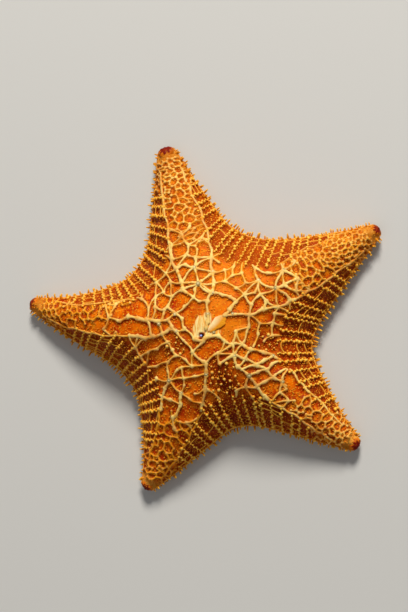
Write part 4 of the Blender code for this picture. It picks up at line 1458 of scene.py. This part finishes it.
# sea star skin, grown thin over lime plates and set with granules: deep saturated orange, finely speckled,
# darker and redder down the flanks, painted shade by the struts and in the pore, painted light towards the
# lamp, a soft dull sheen
def skinMaterial():
    plan = skinFinish
    made, tree, shader = material("granularStarSkin", plan["roughness"], plan["specular"])
    place = node(tree, "ShaderNodeTexCoord").outputs["Object"]
    speckle, patches, mottle = (
        node(tree, "ShaderNodeTexNoise", {
            "Vector": place, "Scale": 1000 / plan[size], "Detail": detail}).outputs["Fac"]
        for size, detail in (("speckleSize", 2.0), ("patchSize", 2.0), ("mottleSize", 3.0)))
    grain = node(tree, "ShaderNodeTexVoronoi", {
        "Vector": place, "Scale": 1000 / plan["grainSize"]}).outputs["Distance"]
    stretched = node(tree, "ShaderNodeMapping", {"Vector": place, "Scale": plan["streaks"]}).outputs["Vector"]
    streaks = node(tree, "ShaderNodeTexNoise", {
        "Vector": stretched, "Scale": 1.0, "Detail": 3.0}).outputs["Fac"]
    openCell, paintedLight, flank, golden, net, palePatch, pore, outward, sole, furrow = (
        node(tree, "ShaderNodeAttribute", attribute_name=mark).outputs["Fac"] for mark in (
            "open", "paintedLight", "flank", "golden", "net", "pale", "pore", "armEnd", "sole", "furrow"))
    wavy = node(tree, "ShaderNodeMapRange", {0: streaks, 1: 0.35, 2: 0.65, 3: 0.55, 4: 1.3}).outputs["Result"]
    flame = node(tree, "ShaderNodeMath", {0: palePatch, 1: wavy}, operation="MULTIPLY").outputs[0]
    # painted shade: the cells darker beside the struts, where the net would shade them
    paintedShadeNearNet = node(tree, "ShaderNodeMath", {0: 0.8, 1: openCell}, operation="SUBTRACT").outputs[0]
    cream = layered(tree, "#f4a838", ((streaks, 0.36, 0.58, 1.0, "#ffe294"),))
    cap = layered(tree, "#c4741c", ((patches, 0.35, 0.65, 1.0, "#e8a03c"),))
    under = layered(tree, "#b8702a", ((patches, 0.38, 0.62, 1.0, "#cf8f44"),))
    flankColour = layered(tree, "#701200", (
        (patches, 0.35, 0.65, 1.0, "#a43200"),
        # painted light: the flanks lighter on the side that faces the lamp
        (paintedLight, 0.0, 1.0, 0.60, "#bc5002"),
        (mottle, 0.56, 0.72, 0.6, "#b85204"),
        (speckle, 0.62, 0.76, 1.0, "#e8941c")))
    colour = layered(tree, "#bc3200", (
        (patches, 0.38, 0.62, 1.0, "#f07200"),
        # painted shade in the cells beside the struts
        (paintedShadeNearNet, 0.0, 0.8, 1.0, "#8a2200"),
        # painted light: the cells lighter on the side that faces the lamp
        (paintedLight, 0.55, 1.0, 0.45, "#f28a14"),
        (mottle, 0.53, 0.68, 1.0, "#f08c10"),
        (speckle, 0.60, 0.74, 0.9, "#ffb42c"),
        (flank, 0.0, 1.0, 1.0, flankColour),
        (golden, 0.0, 1.0, 0.55, "#ee8a14"),
        (net, 0.42, 1.00, 1.0, "#ee9818"),
        (flame, 0.06, 0.60, 1.0, cream),
        # painted shade: the pore's pit near black
        (pore, 0.0, 1.0, 1.0, "#2c0d04"),
        (outward, 0.90, 0.935, 1.0, cap),
        (outward, 0.962, 0.980, 1.0, "#8c2404"),
        (sole, 0.0, 1.0, 1.0, under),
        (furrow, 0.0, 1.0, 1.0, "#8a4a22")))
    tree.links.new(colour, shader.inputs["Base Color"])
    relief = {"Height": grain, "Strength": 0.35, "Distance": plan["grainDepth"] * mm}
    tree.links.new(node(tree, "ShaderNodeBump", relief).outputs["Normal"], shader.inputs["Normal"])
    return made


limeFinish = {
    "specular": 0.10, "roughness": 0.4,
    "speckleSize": 1.4,  # millimetres; the mesh of the lime itself is nearer 0.05, too fine to show
    "blotchSize": 4.2, "driftSize": 16.7,  # worn spots, and the drift of colour along the arms
    "grainDepth": 0.3,
}


# sea star lime (calcite), grown as plates and spines under thin skin: orange at the foot, golden up the sides
# and paler on the crest, its own pale colour with a painted highlight, each piece a little lighter or darker
# than the next
def limeMaterial(name, low, high, roughness=limeFinish["roughness"], pale=None):
    plan = limeFinish
    made, tree, shader = material(name, roughness, plan["specular"])
    place = node(tree, "ShaderNodeTexCoord").outputs["Object"]
    speckle, blotches, drift = (
        node(tree, "ShaderNodeTexNoise", {
            "Vector": place, "Scale": 1000 / plan[size], "Detail": 2.0}).outputs["Fac"]
        for size in ("speckleSize", "blotchSize", "driftSize"))
    rise, cream, joint, tone = (
        node(tree, "ShaderNodeAttribute", attribute_name=mark).outputs["Fac"]
        for mark in ("rise", "cream", "joint", "tone"))
    crest = node(tree, "ShaderNodeMath", {0: cream, 1: rise}, operation="MULTIPLY").outputs[0]
    top = layered(tree, pale or high, ((blotches, 0.50, 0.62, 0.75, high),))
    colour = layered(tree, low, (
        (rise, 0.50, 0.95, 1.0, high),
        # painted highlight along the crest, over the net's own cream
        (crest, 0.30, 0.95, 0.9, top),
        (joint, 0.3, 1.0, 0.7, pale or high),
        (drift, 0.45, 0.70, 0.45, low),
        (tone, 0.50, 1.0, 0.32, low),
        (speckle, 0.60, 0.75, 0.5, low)))
    tree.links.new(colour, shader.inputs["Base Color"])
    relief = {"Height": speckle, "Strength": 0.25, "Distance": plan["grainDepth"] * mm}
    tree.links.new(node(tree, "ShaderNodeBump", relief).outputs["Normal"], shader.inputs["Normal"])
    return made


def painted(pieces, made):
    for piece in pieces:
        piece.data.materials.clear()
        piece.data.materials.append(made)


painted((skin,), skinMaterial())
# plates grown together as a net, orange where the skin climbs them and cream along the top: their own pale
# colour with a painted highlight on the crest
painted((upperStruts, junctionCaps), limeMaterial("limePlate", "#d06600", "#fcaa22", pale="#ffe184"))
dull, wet = limeFinish["roughness"], 0.2
for piece, name, foot, top, roughness in (
        (ribStruts, "limeRib", "#d88410", "#ffc044", dull),  # thin bars down the flanks, golden all over
        (beads, "limeBead", "#f09a14", "#ffd458", dull),  # rubbed round and bright on top
        (spines, "limeSpine", "#d88410", "#ffc840", dull),  # skin at the root, bare lime at the tip
        (looseBeads, "limeTubercle", "#e08a14", "#ffd468", dull),  # a lime knob, brighter towards the top
        (buttons, "tubercleShadowRingAndGlint", "#8c7028", "#ffe8ac", dull),  # rim painted dark olive as a shadow ring, top painted pale as a glint
        (sieve, "sievePlateLime", "#f09c1c", "#ffe8ac", dull),  # smooth, fading from cream to gold
        (gills, "softGill", "#d86c04", "#ffb834", dull),  # thin skin that the light shows through at the tip
        (papilla, "glintPaintedMembrane", "#8c94d8", "#c4ccff", 0.12),  # glossy, painted pale bluish-white as the glint on wet skin
        (armEnds, "redEndPlate", "#7a1200", "#dc760c", 0.55),  # oxblood red, folded, orange at the rim
        (eyespots, "eyePigment", "#5c0400", "#9c1402", wet),
        (solePieces, "solePlateLime", "#cf9048", "#f2cc8c", dull),  # sandy, unbleached
        (granules, "soleGranuleLime", "#d89a50", "#f8d8a0", dull),  # grit of lime, sandy and matt
        (furrowSpines, "furrowSpineLime", "#d8a058", "#f8dca8", dull),  # bare lime, palest at the tip
        (tubeFeet, "tubeFootSkin", "#c88a4c", "#8a5a34", 0.3),  # muscle under thin skin, brown at the sucker
        (mouth, "mouthMembrane", "#7c4420", "#d89a5c", 0.3)):  # soft creased skin, brown at the middle
    painted((piece,), limeMaterial(name, foot, top, roughness))
print("materials done")

slots = {
    "skin": (skin, upperStruts, ribStruts, beads, spines, junctionCaps, gills, looseBeads, solePieces,
             granules, furrowSpines, tubeFeet, buttons, papilla),
    "mouth_skin": (mouth,), "sieve_plate": (sieve,), "arm_tip": (armEnds,), "eyespot": (eyespots,),
}
for slot, pieces in slots.items():
    for piece in pieces:
        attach(piece, "root")
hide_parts("madreporite")
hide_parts("mouth")
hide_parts(*["eyespot_" + arm for arm in armNames])
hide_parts(*[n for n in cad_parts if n.split("_")[0] in ("disc", "arm", "tip")])

deselect()
bpy.ops.mesh.primitive_plane_add(size=6, location=(0, 0, 0))
floor = bpy.context.object
floor.name = "floor"
paper, tree, shader = material("matPaper", 0.9, 0.5)  # uncoated backdrop paper: pale, warm grey, no shine
shader.inputs["Base Color"].default_value = linear("#d0cec9")
painted((floor,), paper)

lightPlan = {
    "key": {"place": (0.36, 2.30, 1.94), "size": 0.92, "power": 102.0, "colour": (1.0, 0.97, 0.92)},
    "fill": {"place": (-0.6, -1.3, 2.6), "size": 2.8, "power": 7.4, "colour": (0.96, 0.98, 1.0)},
    "sky": 0.17,
}
for name in ("key", "fill"):
    plan = lightPlan[name]
    lamp = bpy.data.lights.new(name, "AREA")
    lamp.shape, lamp.size, lamp.energy, lamp.color = "DISK", plan["size"], plan["power"], plan["colour"]
    holder = bpy.data.objects.new(name, lamp)
    bpy.context.scene.collection.objects.link(holder)
    holder.location = plan["place"]
    holder.rotation_euler = Vector(plan["place"]).to_track_quat("Z", "Y").to_euler()
world = bpy.data.worlds.new("studio")
world.use_nodes = True
world.node_tree.nodes["Background"].inputs["Color"].default_value = (0.93, 0.96, 1.0, 1.0)
world.node_tree.nodes["Background"].inputs["Strength"].default_value = lightPlan["sky"]
bpy.context.scene.world = world
bpy.context.scene.view_settings.view_transform = "Standard"

cameraPlan = {
    "distance": 1.05, "leanRight": 10.0, "leanDown": 2.5,  # from straight above the hub, in degrees
    "target": (-8.16 * mm, 17.0 * mm),  # what the frame's middle looks at, from the hub
    "lens": 90.8, "sensor": 36.0,
}
plan = cameraPlan
lens = bpy.data.cameras.new("camera")
lens.sensor_width, lens.lens = plan["sensor"], plan["lens"]
camera = bpy.data.objects.new("camera", lens)
bpy.context.scene.collection.objects.link(camera)
lean = (math.tan(math.radians(plan["leanRight"])), -math.tan(math.radians(plan["leanDown"])), 1.0)
offset = unit(np.array(lean))
camera.location = hub + offset * plan["distance"]
target = hub + np.array((*plan["target"], 0.0))
ahead = Vector(target - np.array(camera.location)).normalized()
right = ahead.cross(Vector((0, 1, 0))).normalized()
above = right.cross(ahead)
camera.rotation_euler = Matrix((right, above, -ahead)).transposed().to_euler()
bpy.context.scene.camera = camera
